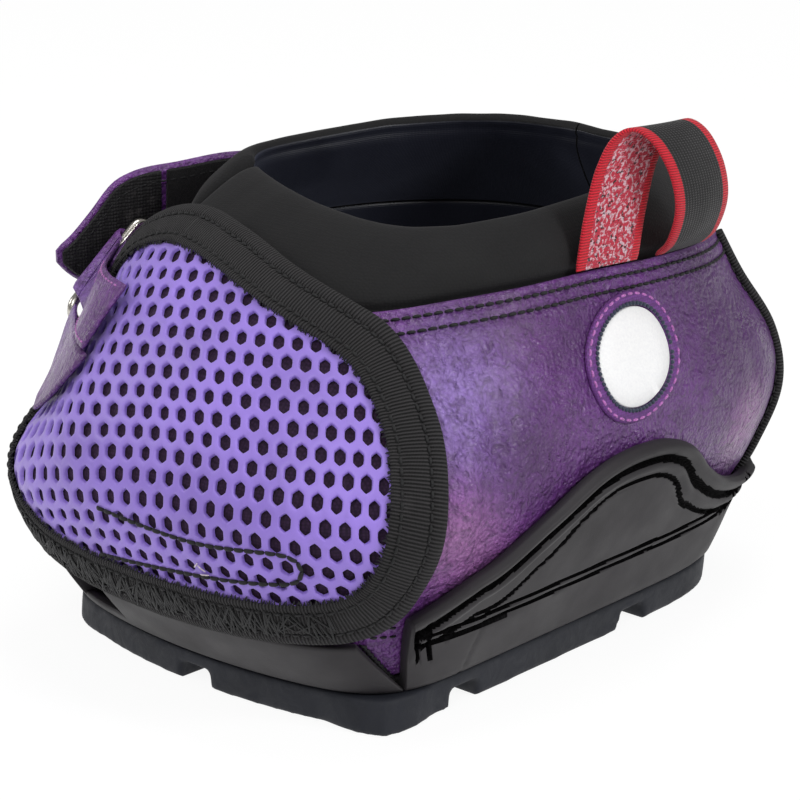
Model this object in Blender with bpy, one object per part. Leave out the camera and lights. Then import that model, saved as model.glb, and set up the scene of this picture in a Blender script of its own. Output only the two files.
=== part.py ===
"""Horse hoof boot: a short boot that closes round a small hoof.

A moulded rubber sole with side wings carries leather quarters, a lined upper with a padded
collar, and a perforated front shield that folds forward at the toe. A ring on the shield's
edge and a hook-and-loop strap on the left quarter close it, and a ribbon loop pulls it on.

Frame: the toe points to -Y, the heel to +Y, up is +Z, and the boot stands on Z = 0.
Places on the upper are given as a share round the boot (0 at the toe, 1 at the heel,
positive on the right side, +X), a height, and an offset outward from the leather's face.
"""
import math

import bmesh
import bpy
import numpy as np
from mathutils import Matrix, Vector

MM = 0.001

# Driving sizes of the upper.
FORM_TOP = 122 * MM
FORM_HALF_WIDTH = 70.3 * MM
FORM_TOE = 81.8 * MM
FORM_HEEL = 94.0 * MM
TOE_ARCH = 10.5 * MM
HEEL_ARCH = 5.5 * MM
DENT_DEPTH = 9.5 * MM
DENT_HEIGHT = 64 * MM
DENT_SPREAD_DOWN = 20 * MM
DENT_SPREAD_UP = 32 * MM
DENT_SHARE = -0.225
DENT_SPREAD_SHARE = 0.17

# One row a level: height, half width, toe reach, toe arch, toe squareness, heel reach,
# heel arch, heel squareness and taper towards the heel.
LEVEL_SHARES = (
    (0.074, 0.733, 0.750, 0.857, 9.5, 0.766, 1.000, 7.0, -0.075),
    (0.197, 0.828, 0.868, 1.000, 6.0, 0.846, 0.964, 5.0, -0.047),
    (0.328, 0.932, 0.966, 0.905, 5.0, 0.936, 0.818, 4.6, -0.028),
    (0.459, 1.000, 1.000, 0.838, 4.2, 1.000, 0.691, 4.3, -0.019),
    (0.574, 0.982, 0.954, 0.571, 3.2, 1.000, 0.436, 3.8, -0.009),
    (0.689, 0.908, 0.850, 0.362, 2.6, 0.951, 0.182, 3.2, 0.000),
    (0.811, 0.824, 0.685, 0.067, 2.3, 0.883, 0.000, 3.0, 0.009),
    (0.934, 0.725, 0.440, 0.000, 2.1, 0.798, 0.000, 2.8, 0.009),
    (1.000, 0.676, 0.318, 0.000, 2.1, 0.755, 0.000, 2.7, 0.009),
)

# Sole.
TREAD_HEIGHT = 8.7 * MM
LUG_DEPTH = 5.0 * MM
TREAD_INSET = 0.6 * MM
TREAD_DRAFT = 0.8 * MM
LUG_CHAMFER = 0.8 * MM
LUG_CORNER = 6.5 * MM
CHANNEL_WIDTH = 11.0 * MM
CHANNEL_DRAFT = 2.0 * MM
TOE_CHANNEL_LENGTH = 40.0 * MM
CUP_BOTTOM = 9.0 * MM
FLOOR_THICKNESS = 3.0 * MM
CUP_WALL = 3.8 * MM
CUP_GAP = 0.5 * MM
RIM_HEIGHT = 24.0 * MM
WING_HEIGHT = 58.6 * MM
NOTCH_BOTTOM = 12.6 * MM
SLOT_BOTTOM = 17.8 * MM
BEAD_BAND = 9.2 * MM
BEAD_PROUD = 1.3 * MM
GROOVE_DEPTH = 0.9 * MM
LINE_GROOVE_HEIGHT = 26.0 * MM
INSOLE_THICKNESS = 5.0 * MM
INSOLE_CLEARANCE = 2.4 * MM

# Upper.
SEAT_GAP = 0.3 * MM
LEATHER = 2.0 * MM
LINING = 3.0 * MM
LAYER_GAP = 0.4 * MM
PATCH = 1.0 * MM
LEATHER_TOP = 98.5 * MM
COLLAR_TOP = 117.5 * MM
COLLAR_TUCK = 5.0 * MM
COLLAR_DEPTH = 7.8 * MM
COLLAR_FRONT_TUCK = 1.3 * MM
BADGE_CLEARANCE = 3.45 * MM
BADGE_RING_WIDTH = 5.0 * MM
BADGE_RADIUS = (LEATHER_TOP - WING_HEIGHT) / 2 - BADGE_CLEARANCE
BADGE_DISC_RADIUS = BADGE_RADIUS - BADGE_RING_WIDTH
BADGE_HEIGHT = (LEATHER_TOP + WING_HEIGHT) / 2
BADGE_THICKNESS = 0.9 * MM

# Shield.
SHIELD_BOTTOM = 26.0 * MM
SHIELD_TOP = 110.0 * MM
TAPE_WIDTH = 12.0 * MM
TAPE_BACK_WIDTH = 8.0 * MM
TAPE = 0.8 * MM
TAPE_EDGE = 1.0 * MM
BACKING = 1.0 * MM
NET = 1.0 * MM
NET_GAP = 0.7 * MM
NET_PITCH = 9.3 * MM
NET_HOLE = 6.4 * MM

# Ring and its tab.
WIRE = 2.6 * MM
RING_LENGTH = 33.0 * MM
RING_REACH = 12.0 * MM
RING_SLIDE = 0.8 * MM
RING_CORNER = 3.5 * MM
SLEEVE_WALL = 1.2 * MM
BORE_GAP = 0.4 * MM
TAB_SEAT = 0.8 * MM
TAB_TOP_HEIGHT = 90.0 * MM
TAB_TOP_STAND = 10.0 * MM
TAB_LOW_HEIGHT = 76.5 * MM
TAB_LOW_STAND = 12.0 * MM
GUSSET_BOTTOM = 57.0 * MM
GUSSET_DROP = 0.2 * MM
GUSSET_TOP = TAB_LOW_HEIGHT - GUSSET_DROP
GUSSET_SEAT = 0.3 * MM
GUSSET_STAND = 4.5 * MM

# Strap.
STRAP_LENGTH = 73.0 * MM
STRAP_HEIGHT = 29.0 * MM
STRAP_DROP = 20.5 * MM
STRAP_FOOT = LEATHER_TOP - STRAP_DROP
STRAP_LEATHER = 1.8 * MM
STRAP_PANEL = 1.2 * MM
STRAP_FLARE = 12.0 * MM
STRAP_CURL = 1.0 * MM
PANEL_MARGIN = 1.5 * MM
PANEL_SPLIT = 42.0 * MM
ANCHOR_HEIGHT = 24.0 * MM

# Pull loop.
RIBBON_WIDTH = 23.0 * MM
RIBBON = 1.0 * MM
LOOP_RISE = 34.0 * MM
LOOP_BULGE = 10.5 * MM
LOOP_DRIFT = 31.0 * MM
LOOP_START = 12.0 * MM
LOOP_TUCK = -0.3 * MM

# Steps along the form when an outline is laid out on it.
TRACE_STEP = 1.0 * MM
OUTLINE_STEP = 2.5 * MM

# Places round the boot.
QUARTER_FRONT_SHARE = 0.16
QUARTER_BACK_SHARE = 0.78
RIGHT_WING_END_SHARE = -0.12
LEFT_WING_END_SHARE = 0.12
RIGHT_COLLAR_END_SHARE = -0.230
LEFT_COLLAR_END_SHARE = -0.250
BADGE_SHARE = 0.512
TAB_TOP_SHARE = -0.320
TAB_LOW_SHARE = -0.285
TAB_SEAT_SHARES = (-0.240, -0.205, -0.175, -0.150, -0.125, -0.105)
STRAP_SHARE = -0.56
ANCHOR_END_SHARE = -0.64
CORNER_SHARE = 0.228
CORNER_SPREAD_SHARE = 0.062
LOOP_FIRST_SHARE = 0.43
COLUMN_SHARES = (
    0.0, 0.04, 0.08, 0.12, 0.16, 0.20, 0.23, 0.26, 0.29, 0.32, 0.36, 0.42, 0.50,
    0.56, 0.60, 0.64, 0.70, 0.74, 0.78, 0.82, 0.87, 0.935, 1.0)

# Outline of the shield's edge: share round the boot, and height between its bottom and top.
SHIELD_EDGE_SHARES = (
    (-0.100, 0.972), (0.000, 0.948), (0.088, 0.899), (0.160, 0.848), (0.208, 0.795),
    (0.240, 0.714), (0.262, 0.610), (0.275, 0.500), (0.281, 0.380), (0.278, 0.270),
    (0.266, 0.170), (0.246, 0.085), (0.215, 0.035), (0.160, 0.015), (0.070, 0.000),
    (-0.040, 0.000), (-0.120, 0.012), (-0.185, 0.060), (-0.235, 0.150), (-0.262, 0.280),
    (-0.272, 0.430), (-0.271, 0.600), (-0.260, 0.760), (-0.236, 0.862), (-0.175, 0.943))

# Top edge of the wing: share round the boot, and height as a share of the wing's.
WING_SHARES = (
    (0.262, 0.580), (0.302, 0.623), (0.343, 0.674), (0.403, 0.828), (0.453, 0.956),
    (0.520, 1.000), (0.560, 0.973), (0.583, 0.930), (0.627, 0.785), (0.667, 0.683),
    (0.723, 0.600), (0.800, 0.568), (1.000, 0.563))

# Collar's roll: offset as a share of its crown or depth, and height between foot and top.
COLLAR_SECTION_SHARES = (
    (-0.308, 0.00), (-0.308, 0.24), (-0.060, 0.33), (0.077, 0.50), (0.040, 0.70),
    (-0.120, 0.87), (-0.330, 0.97), (-0.540, 1.00), (-0.760, 0.96), (-0.930, 0.85),
    (-1.000, 0.62), (-0.960, 0.36), (-0.820, 0.14), (-0.680, 0.00))

# Materials: name, colour, roughness and metallic value.
FINISHES = {
    "rubber": ((0.045, 0.042, 0.046), 0.55, 0.0),
    "tread_rubber": ((0.032, 0.036, 0.046), 0.60, 0.0),
    "leather": ((0.20, 0.09, 0.31), 0.42, 0.0),
    "net": ((0.34, 0.22, 0.66), 0.55, 0.0),
    "black_tape": ((0.015, 0.014, 0.014), 0.80, 0.0),
    "black_cloth": ((0.020, 0.019, 0.022), 0.85, 0.0),
    "collar": ((0.024, 0.023, 0.025), 0.70, 0.0),
    "foam": ((0.06, 0.06, 0.065), 0.90, 0.0),
    "hook": ((0.012, 0.012, 0.013), 0.95, 0.0),
    "badge_white": ((0.80, 0.80, 0.80), 0.60, 0.0),
    "badge_purple": ((0.24, 0.08, 0.34), 0.60, 0.0),
    "steel": ((0.75, 0.74, 0.70), 0.25, 1.0),
    "ribbon": ((0.55, 0.02, 0.05), 0.65, 0.0),
}


def curve_value(table, position):
    """Read a smooth curve through (position, value, value ...) rows at one position."""
    places = [row[0] for row in table]
    last = len(table) - 2
    index = 0
    while index < last and position > places[index + 1]:
        index += 1
    span = places[index + 1] - places[index]
    t = min(max((position - places[index]) / span, 0.0), 1.0)
    values = []
    for column in range(1, len(table[0])):
        start = table[index][column]
        end = table[index + 1][column]
        slope = (end - start) / span
        before = slope
        after = slope
        if index > 0:
            back = places[index] - places[index - 1]
            before = (slope * back + (start - table[index - 1][column]) / back * span) / (back + span)
        if index < last:
            ahead = places[index + 2] - places[index + 1]
            after = (slope * ahead + (table[index + 2][column] - end) / ahead * span) / (ahead + span)
        blend = t * t * (3 - 2 * t)
        rise = t * (1 - t) ** 2 * span * before
        fall = t * t * (1 - t) * span * after
        values.append(start + (end - start) * blend + rise - fall)
    return values


class BootForm:
    """The leather's outer face, from the sole's cup to the collar, as a grid of points."""

    rows = 90
    columns = 401

    def __init__(self):
        self.low = LEVEL_SHARES[0][0] * FORM_TOP
        self.high = FORM_TOP
        self.heights = np.linspace(self.low, self.high, self.rows)
        self.shares = np.linspace(-1.0, 1.0, self.columns)
        self.points = np.zeros((self.rows, self.columns, 3))
        self.girths = np.zeros(self.rows)
        for row, height in enumerate(self.heights):
            across, along, lengths = self.half_outline(height)
            reach = np.abs(self.shares) * lengths[-1]
            self.girths[row] = lengths[-1]
            self.points[row, :, 0] = np.sign(self.shares) * np.interp(reach, lengths, across)
            self.points[row, :, 1] = np.interp(reach, lengths, along)
            self.points[row, :, 2] = height
        self.press_in_the_loose_corner()
        round_step = np.gradient(self.points, axis=1)
        round_step[:, 0] = self.points[:, 1] - self.points[:, -2]
        round_step[:, -1] = round_step[:, 0]
        up_step = np.gradient(self.points, axis=0)
        self.normals = np.cross(round_step, up_step)
        self.normals /= np.linalg.norm(self.normals, axis=2, keepdims=True)
        self.flat = self.normals.copy()
        self.flat[:, :, 2] = 0
        self.flat /= np.linalg.norm(self.flat, axis=2, keepdims=True)

    def press_in_the_loose_corner(self):
        """Flatten the left front corner, where the undone shield hangs loose."""
        out = np.gradient(self.points, axis=1)
        out = np.stack([out[:, :, 1], -out[:, :, 0], np.zeros_like(out[:, :, 0])], axis=2)
        out /= np.linalg.norm(out, axis=2, keepdims=True)
        aside = (self.shares - DENT_SHARE) / DENT_SPREAD_SHARE
        above = self.heights - DENT_HEIGHT
        above = np.where(above < 0, above / DENT_SPREAD_DOWN, above / DENT_SPREAD_UP)
        depth = DENT_DEPTH * np.clip(1 - above ** 2, 0, 1)[:, None] ** 2
        depth = depth * np.clip(1 - aside ** 2, 0, 1)[None, :] ** 2
        self.points -= out * depth[:, :, None]

    def half_outline(self, height):
        """Plan outline at one height from the toe round the right side to the heel."""
        values = curve_value(LEVEL_SHARES, height / FORM_TOP)
        wide, toe, toe_arch, toe_square, heel, heel_arch, heel_square, taper = values
        wide *= FORM_HALF_WIDTH
        toe *= FORM_TOE
        heel *= FORM_HEEL
        angle = np.linspace(0, math.pi, 361)
        sine = np.sin(angle)
        cosine = -np.cos(angle)
        reach = np.where(cosine < 0, toe, heel)
        square = np.where(cosine < 0, toe_square, heel_square)
        arch = np.where(cosine < 0, -toe_arch * TOE_ARCH, heel_arch * HEEL_ARCH)
        radius = (np.abs(sine / wide) ** square + np.abs(cosine / reach) ** square) ** (-1 / square)
        across = radius * sine
        along = radius * cosine
        along = along + arch * (along / reach) ** 2 * (1 - (across / wide) ** 2)
        across = across * (1 + taper * along / FORM_HEEL)
        steps = np.hypot(np.diff(across), np.diff(along))
        return across, along, np.concatenate([[0], np.cumsum(steps)])

    def read(self, grid, share, height):
        """Read one of the grids between its points."""
        share = (share + 1) % 2 - 1 if abs(share) > 1 else share
        place = (share + 1) / 2 * (self.columns - 1)
        level = (height - self.low) / (self.high - self.low) * (self.rows - 1)
        column = min(max(int(place), 0), self.columns - 2)
        row = min(max(int(level), 0), self.rows - 2)
        right = place - column
        up = level - row
        lower = grid[row, column] * (1 - right) + grid[row, column + 1] * right
        upper = grid[row + 1, column] * (1 - right) + grid[row + 1, column + 1] * right
        return lower * (1 - up) + upper * up

    def point(self, share, height, offset=0.0):
        """A point on the leather's face, moved out along the face's normal."""
        normal = self.read(self.normals, share, height)
        place = self.read(self.points, share, height) + offset * normal / np.linalg.norm(normal)
        return Vector(place)

    def level_point(self, share, height, offset, rise=None):
        """A point moved out level, at the form's height or at one of its own."""
        normal = self.read(self.flat, share, height)
        place = self.read(self.points, share, height) + offset * normal / np.linalg.norm(normal)
        if rise is not None:
            place[2] = rise
        return Vector(place)

    def girth(self, height):
        """Half the way round the form at one height."""
        return float(np.interp(height, self.heights, self.girths))


FORM = BootForm()


def clear_scene():
    """Remove what the opened scene holds."""
    for old in list(bpy.data.objects):
        bpy.data.objects.remove(old, do_unlink=True)


def finish_material(name):
    """One Principled material for each finish."""
    found = bpy.data.materials.get(name)
    if found:
        return found
    colour, roughness, metallic = FINISHES[name]
    material = bpy.data.materials.new(name)
    material.use_nodes = True
    shader = material.node_tree.nodes["Principled BSDF"]
    shader.inputs["Base Color"].default_value = (*colour, 1.0)
    shader.inputs["Roughness"].default_value = roughness
    shader.inputs["Metallic"].default_value = metallic
    material.diffuse_color = (*colour, 1.0)
    return material


def add_pivot(name, place, parent=None):
    """An empty on a joint's axis."""
    pivot = bpy.data.objects.new(name, None)
    pivot.empty_display_size = RIM_HEIGHT
    bpy.context.scene.collection.objects.link(pivot)
    pivot.location = place
    if parent:
        pivot.parent = parent
        pivot.location = place - parent.matrix_world.translation
    bpy.context.view_layer.update()
    return pivot


def add_piece(name, shape, finish, pivot=None, smooth_angle=40):
    """Turn a mesh in world places into a named object, on its pivot where it has one."""
    bmesh.ops.recalc_face_normals(shape, faces=shape.faces)
    bmesh.ops.triangulate(shape, faces=shape.faces)
    if pivot:
        bmesh.ops.translate(shape, verts=shape.verts, vec=-pivot.matrix_world.translation)
    mesh = bpy.data.meshes.new(name)
    shape.to_mesh(mesh)
    shape.free()
    mesh.shade_smooth()
    mesh.set_sharp_from_angle(angle=math.radians(smooth_angle))
    mesh.materials.append(finish_material(finish))
    piece = bpy.data.objects.new(name, mesh)
    bpy.context.scene.collection.objects.link(piece)
    if pivot:
        piece.parent = pivot
    return piece


def grid_solid(shape, outer, inner, closed=False):
    """A closed shell between two equal grids of points, each a list of rows."""
    tops = [[shape.verts.new(place) for place in row] for row in outer]
    bases = [[shape.verts.new(place) for place in row] for row in inner]
    rows = len(tops)
    columns = len(tops[0])
    spans = columns if closed else columns - 1
    for row in range(rows - 1):
        for column in range(spans):
            after = (column + 1) % columns
            shape.faces.new((tops[row][column], tops[row][after],
                             tops[row + 1][after], tops[row + 1][column]))
            shape.faces.new((bases[row][column], bases[row + 1][column],
                             bases[row + 1][after], bases[row][after]))
    for column in range(spans):
        after = (column + 1) % columns
        shape.faces.new((tops[0][after], tops[0][column], bases[0][column], bases[0][after]))
        shape.faces.new((tops[-1][column], tops[-1][after], bases[-1][after], bases[-1][column]))
    if not closed:
        for row in range(rows - 1):
            shape.faces.new((tops[row][0], tops[row + 1][0], bases[row + 1][0], bases[row][0]))
            shape.faces.new((tops[row + 1][-1], tops[row][-1], bases[row][-1], bases[row + 1][-1]))


def section_solid(shape, sections, closed=False):
    """A closed body through a row of equal section loops, capped where it isn't a ring."""
    rings = [[shape.verts.new(place) for place in section] for section in sections]
    size = len(rings[0])
    count = len(rings) if closed else len(rings) - 1
    for index in range(count):
        this = rings[index]
        following = rings[(index + 1) % len(rings)]
        for corner in range(size):
            after = (corner + 1) % size
            shape.faces.new((this[corner], this[after], following[after], following[corner]))
    if not closed:
        shape.faces.new(list(reversed(rings[0])))
        shape.faces.new(rings[-1])


def columns_between(first, last):
    """The shared columns round the boot from one share to another, ends included.

    A range that passes the heel runs on above 1.
    """
    whole = sorted({round(sign * share, 5) for share in COLUMN_SHARES for sign in (-1, 1)})
    whole += [round(share + 2, 5) for share in whole if share > -1]
    inside = [share for share in whole if first < share < last]
    tiny = 1e-4
    return [first] + [s for s in inside if s - first > tiny and last - s > tiny] + [last]


def wrapped(share):
    """A share brought back to the range from -1 to 1."""
    return share - 2 if share > 1 else share


def leather_top(share):
    """Height of the quarters' top edge, which dips a little at the shield and the heel."""
    around = abs(wrapped(share))
    table = ((0.0, 0.975), (0.16, 0.985), (0.28, 1.012), (0.42, 1.018), (0.58, 1.0),
             (0.74, 0.978), (1.0, 0.965))
    return LEATHER_TOP * curve_value(table, around)[0]


def collar_foot(share):
    """Height of the collar's lower edge, tucked behind the leather."""
    return leather_top(share) - COLLAR_TUCK


def collar_rim(share):
    """Height of the collar's top, lowest at the front of the right side."""
    table = ((-1.0, 1.008), (-0.4, 1.004), (-0.15, 1.012), (0.0, 0.996), (0.16, 0.981),
             (0.32, 0.987), (0.5, 0.992), (1.0, 1.008))
    return COLLAR_TOP * curve_value(table, wrapped(share))[0]


def seam_share(height):
    """Half a seat gap as a share of the way round."""
    return SEAT_GAP / FORM.girth(height)


FIRST_SHEET_FOOT = CUP_BOTTOM + FLOOR_THICKNESS + SEAT_GAP
SHEET_LEVEL_SHARES = (0.1443, 0.205, 0.290, 0.375, 0.440, 0.500, 0.565, 0.630, 0.690, 0.730, 0.765)


def sheet(name, finish, first, last, foot, top, outside, thickness, pivot=None):
    """A curved sheet of one thickness on the form, with the rows that all sheets share.

    foot, top and outside take a share and give a height or an offset.
    """
    shares = columns_between(first, last)
    lowest = max(foot(share) for share in shares)
    highest = min(top(share) for share in shares)
    levels = [level * FORM_TOP for level in SHEET_LEVEL_SHARES]
    clear = LEATHER / 2
    levels = [level for level in levels if lowest + clear < level < highest - clear]
    outer = []
    inner = []
    for row in range(len(levels) + 2):
        outer_row = []
        inner_row = []
        for share in shares:
            ends = (foot(share), top(share))
            height = levels[row - 1] if 0 < row <= len(levels) else ends[min(row, 1)]
            offset = outside(share)
            outer_row.append(FORM.point(share, height, offset))
            inner_row.append(FORM.point(share, height, offset - thickness))
        outer.append(outer_row)
        inner.append(inner_row)
    shape = bmesh.new()
    grid_solid(shape, outer, inner)
    return add_piece(name, shape, finish, pivot)


def rim_table():
    """The cup's top edge round the boot: wing, toe rim and wing."""
    wings = [(share, height * WING_HEIGHT) for share, height in WING_SHARES]
    left = [(-share, height) for share, height in reversed(wings)]
    toe = [(share, RIM_HEIGHT) for share in (-0.222, -0.12, 0.0, 0.12, 0.222)]
    return left + toe + wings


def cup_columns():
    """Shares of the cup's columns: its rim points, and even steps between them."""
    places = [share for share, height in rim_table()]
    columns = []
    longest = 0.038
    for start, end in zip(places[:-1], places[1:]):
        parts = max(1, math.ceil((end - start) / longest))
        columns += [start + (end - start) * part / parts for part in range(parts)]
    return columns


def rim_height(share):
    """Height of the cup's top edge at one share."""
    table = rim_table()
    wing = abs(share) >= WING_SHARES[0][0]
    if wing:
        return WING_HEIGHT * curve_value(WING_SHARES, abs(share))[0]
    for (start, low), (end, high) in zip(table[:-1], table[1:]):
        if start <= share <= end:
            return low + (high - low) * (share - start) / (end - start)
    return RIM_HEIGHT


def cup_wall_rows(share):
    """Heights and offsets of the cup wall's outer face at one share, from foot to rim.

    Along the wings a bead follows the top edge and two lines run along the side.
    """
    top = rim_height(share)
    face = CUP_GAP + CUP_WALL
    low = CUP_BOTTOM
    line = LINE_GROOVE_HEIGHT
    cut = GROOVE_DEPTH
    band = BEAD_BAND
    proud = BEAD_PROUD
    room = top - (line + 2 * cut)
    on_wing = WING_SHARES[0][0] < abs(share) < 0.80 and room > 0
    squeeze = min(1.0, room / (band + cut)) if on_wing else 0.0
    rows = [(low, face - TREAD_INSET), (low + TREAD_INSET, face)]
    if on_wing:
        for step, depth in ((-2.8, 0), (-1.8, -cut), (-0.4, 0), (1, -cut), (2, 0)):
            rows.append((line + step * cut, face + depth))
        for drop, depth in ((band, 0), (band * 0.90, -cut), (band * 0.72, proud * 0.4),
                            (band * 0.52, -cut), (band * 0.42, proud * 0.5),
                            (band * 0.24, proud), (band * 0.08, proud * 0.6),
                            (0.0, -CUP_WALL * 0.4)):
            rows.append((top - drop * squeeze, face + depth * min(1.0, squeeze * 1.5)))
    else:
        upper = 13
        start = low + TREAD_INSET
        for index in range(1, upper + 1):
            share_up = index / upper
            rounding = -CUP_WALL * 0.4 if index == upper else 0.0
            rows.append((start + (top - start) * share_up, face + rounding))
    return rows


def build_cup():
    """The sole's cup: floor, toe rim, side wings and heel rim in one moulding."""
    columns = cup_columns()
    outer_rows = []
    for share in columns:
        outer_rows.append([FORM.level_point(share, height, offset)
                           for height, offset in cup_wall_rows(share)])
    floor = CUP_BOTTOM + FLOOR_THICKNESS
    steps = 6
    inner_rows = []
    for share in columns:
        top = rim_height(share)
        levels = [top + (floor - top) * index / steps for index in range(steps + 1)]
        inner_rows.append([FORM.level_point(share, height, CUP_GAP) for height in levels])
    shape = bmesh.new()
    rings = [[shape.verts.new(row[level]) for row in outer_rows] for level in range(len(outer_rows[0]))]
    rings += [[shape.verts.new(row[level]) for row in inner_rows] for level in range(steps + 1)]
    count = len(columns)
    for lower, upper in zip(rings[:-1], rings[1:]):
        for index in range(count):
            after = (index + 1) % count
            shape.faces.new((lower[index], lower[after], upper[after], upper[index]))
    shape.faces.new(list(reversed(rings[0])))
    shape.faces.new(rings[-1])
    cup = add_piece("sole_cup", shape, "rubber", smooth_angle=35)
    cutter_shape = bmesh.new()
    over = RIM_HEIGHT * 1.6
    notch = ((0.213, over), (0.2415, NOTCH_BOTTOM), (0.2655, over))
    slot = ((-0.180, over), (-0.176, SLOT_BOTTOM), (-0.096, SLOT_BOTTOM), (-0.092, over))
    for outline in (notch, slot):
        sides = []
        for offset in (-CUP_WALL, CUP_GAP + 3 * CUP_WALL):
            sides.append([FORM.level_point(share, SLOT_BOTTOM, offset, height)
                          for share, height in outline])
        section_solid(cutter_shape, sides)
    add_cut(cup, cutter_shape, "notch_cutter")
    return cup


def add_cut(piece, cutter_shape, name):
    """Cut a piece with a hidden cutter."""
    cutter = add_piece(name, cutter_shape, "tread_rubber")
    cutter.hide_render = True
    cutter.display_type = "WIRE"
    cut = piece.modifiers.new(name, "BOOLEAN")
    cut.operation = "DIFFERENCE"
    cut.solver = "EXACT"
    cut.object = cutter


def channel_cutter(shape, centre, length, along_x):
    """A drafted bar that cuts one channel between the tread's lugs."""
    half = CHANNEL_WIDTH / 2
    foot = -LUG_DEPTH
    top = LUG_DEPTH
    slope = CHANNEL_DRAFT * (top - foot) / LUG_DEPTH
    profile = ((-half - slope / 2, foot), (half + slope / 2, foot), (half - slope / 2, top),
               (-half + slope / 2, top))
    ends = []
    for side in (-length / 2, length / 2):
        loop = []
        for across, height in profile:
            offset = Vector((side, across, height)) if along_x else Vector((across, side, height))
            loop.append(centre + offset)
        ends.append(loop)
    section_solid(shape, ends)


def build_tread():
    """The tread: a slab under the cup with channels that leave chunky lugs."""
    columns = cup_columns()
    low = FORM.low
    outset = CUP_GAP + CUP_WALL - TREAD_INSET
    levels = ((0.0, outset - TREAD_DRAFT - LUG_CHAMFER), (LUG_CHAMFER, outset - TREAD_DRAFT),
              (LUG_DEPTH, outset - TREAD_DRAFT / 2), (TREAD_HEIGHT, outset - TREAD_INSET / 2))
    sections = []
    for height, offset in levels:
        ring = []
        for share in columns:
            aside = (abs(share) - CORNER_SHARE) / CORNER_SPREAD_SHARE
            corner = max(0.0, 1 - aside ** 2) ** 2 * (1 - 0.5 * height / TREAD_HEIGHT)
            ring.append(FORM.level_point(share, low, offset + LUG_CORNER * corner, height))
        sections.append(ring)
    shape = bmesh.new()
    section_solid(shape, sections)
    tread = add_piece("tread_sole", shape, "tread_rubber", smooth_angle=30)
    cutter_shape = bmesh.new()
    wide = 3 * FORM_HALF_WIDTH
    for share in (-0.565, 0.400):
        reach = FORM_TOE if share < 0 else FORM_HEEL
        channel_cutter(cutter_shape, Vector((0, share * reach * 0.8, 0)), wide, True)
    toe = FORM.level_point(0.0, low, outset)
    channel_cutter(cutter_shape, Vector((0, toe.y, 0)), TOE_CHANNEL_LENGTH, False)
    heel = FORM.level_point(1.0, low, outset)
    channel_cutter(cutter_shape, Vector((0, heel.y, 0)), TOE_CHANNEL_LENGTH, False)
    add_cut(tread, cutter_shape, "channel_cutter")
    return tread


def lining_inside(share):
    """Offset at which the insole clears the innermost lining."""
    return wing_depth(wrapped(share) if share <= 0 else -share) - LINING - INSOLE_CLEARANCE


def build_insole():
    """A foam footbed on the cup's floor, inside the quarters."""
    columns = cup_columns()
    foot = FIRST_SHEET_FOOT
    top = foot + INSOLE_THICKNESS
    sections = []
    for height in (foot, top):
        sections.append([FORM.level_point(share, height, lining_inside(share)) for share in columns])
    shape = bmesh.new()
    section_solid(shape, sections)
    return add_piece("insole_pad", shape, "foam")


def build_quarters():
    """The leather quarters, the heel panel between them and the lining behind them."""
    foot = lambda share: FIRST_SHEET_FOOT
    flush = lambda share: 0.0
    gap = seam_share(RIM_HEIGHT)
    front = QUARTER_FRONT_SHARE
    back = QUARTER_BACK_SHARE
    sheet("right_quarter", "leather", front, back, foot, leather_top, flush, LEATHER)
    sheet("left_quarter", "leather", -back, -front, foot, leather_top, flush, LEATHER)
    sheet("heel_panel", "black_tape", back + gap, 2 - back - gap, foot, leather_top, flush, LEATHER)


def wing_depth(share):
    """Offset of the left wing's face: it dives under the right wing towards the front."""
    rest = -LEATHER - LAYER_GAP
    deep = rest - LINING - 3 * LAYER_GAP - 2 * PATCH
    start = -0.25
    end = -0.135
    t = min(max((share - start) / (end - start), 0.0), 1.0)
    return rest + (deep - rest) * t * t * (3 - 2 * t)


def build_linings():
    """The two lining halves, whose front wings overlap under the shield and stick together."""
    foot = lambda share: FIRST_SHEET_FOOT
    top = lambda share: collar_foot(share) - SEAT_GAP
    seam = seam_share(LEATHER_TOP)
    rest = -LEATHER - LAYER_GAP
    plain = lambda share: rest
    deep = lambda share: wing_depth(wrapped(share))
    sheet("right_lining", "black_cloth", RIGHT_WING_END_SHARE, 1 - seam, foot, top, plain, LINING)
    sheet("left_lining", "black_cloth", -1 + seam, LEFT_WING_END_SHARE, foot, top, deep, LINING)
    patch_foot = lambda share: FIRST_SHEET_FOOT + (LEATHER_TOP - FIRST_SHEET_FOOT) * 0.2
    patch_top = lambda share: FIRST_SHEET_FOOT + (LEATHER_TOP - FIRST_SHEET_FOOT) * 0.8
    inside = rest - LINING - LAYER_GAP
    loop_face = lambda share: inside
    hook_face = lambda share: inside - PATCH - LAYER_GAP
    sheet("wing_loop_patch", "hook", -0.08, 0.08, patch_foot, patch_top, loop_face, PATCH)
    sheet("wing_hook_patch", "hook", -0.08, 0.08, patch_foot, patch_top, hook_face, PATCH)


def collar_section(share, size=1.0):
    """One section loop of the collar's roll; a smaller size rounds off an end."""
    foot = collar_foot(share)
    rim = collar_rim(share)
    middle = -COLLAR_DEPTH / 2
    covered = min(max((0.30 - abs(wrapped(share))) / 0.06, 0.0), 1.0)
    places = []
    for across, up in COLLAR_SECTION_SHARES:
        level = 0.5 + (up - 0.5) * size
        offset = middle + (across * COLLAR_DEPTH - middle) * size - COLLAR_FRONT_TUCK * covered
        places.append(FORM.point(share, foot + (rim - foot) * level, offset))
    return places


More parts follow.
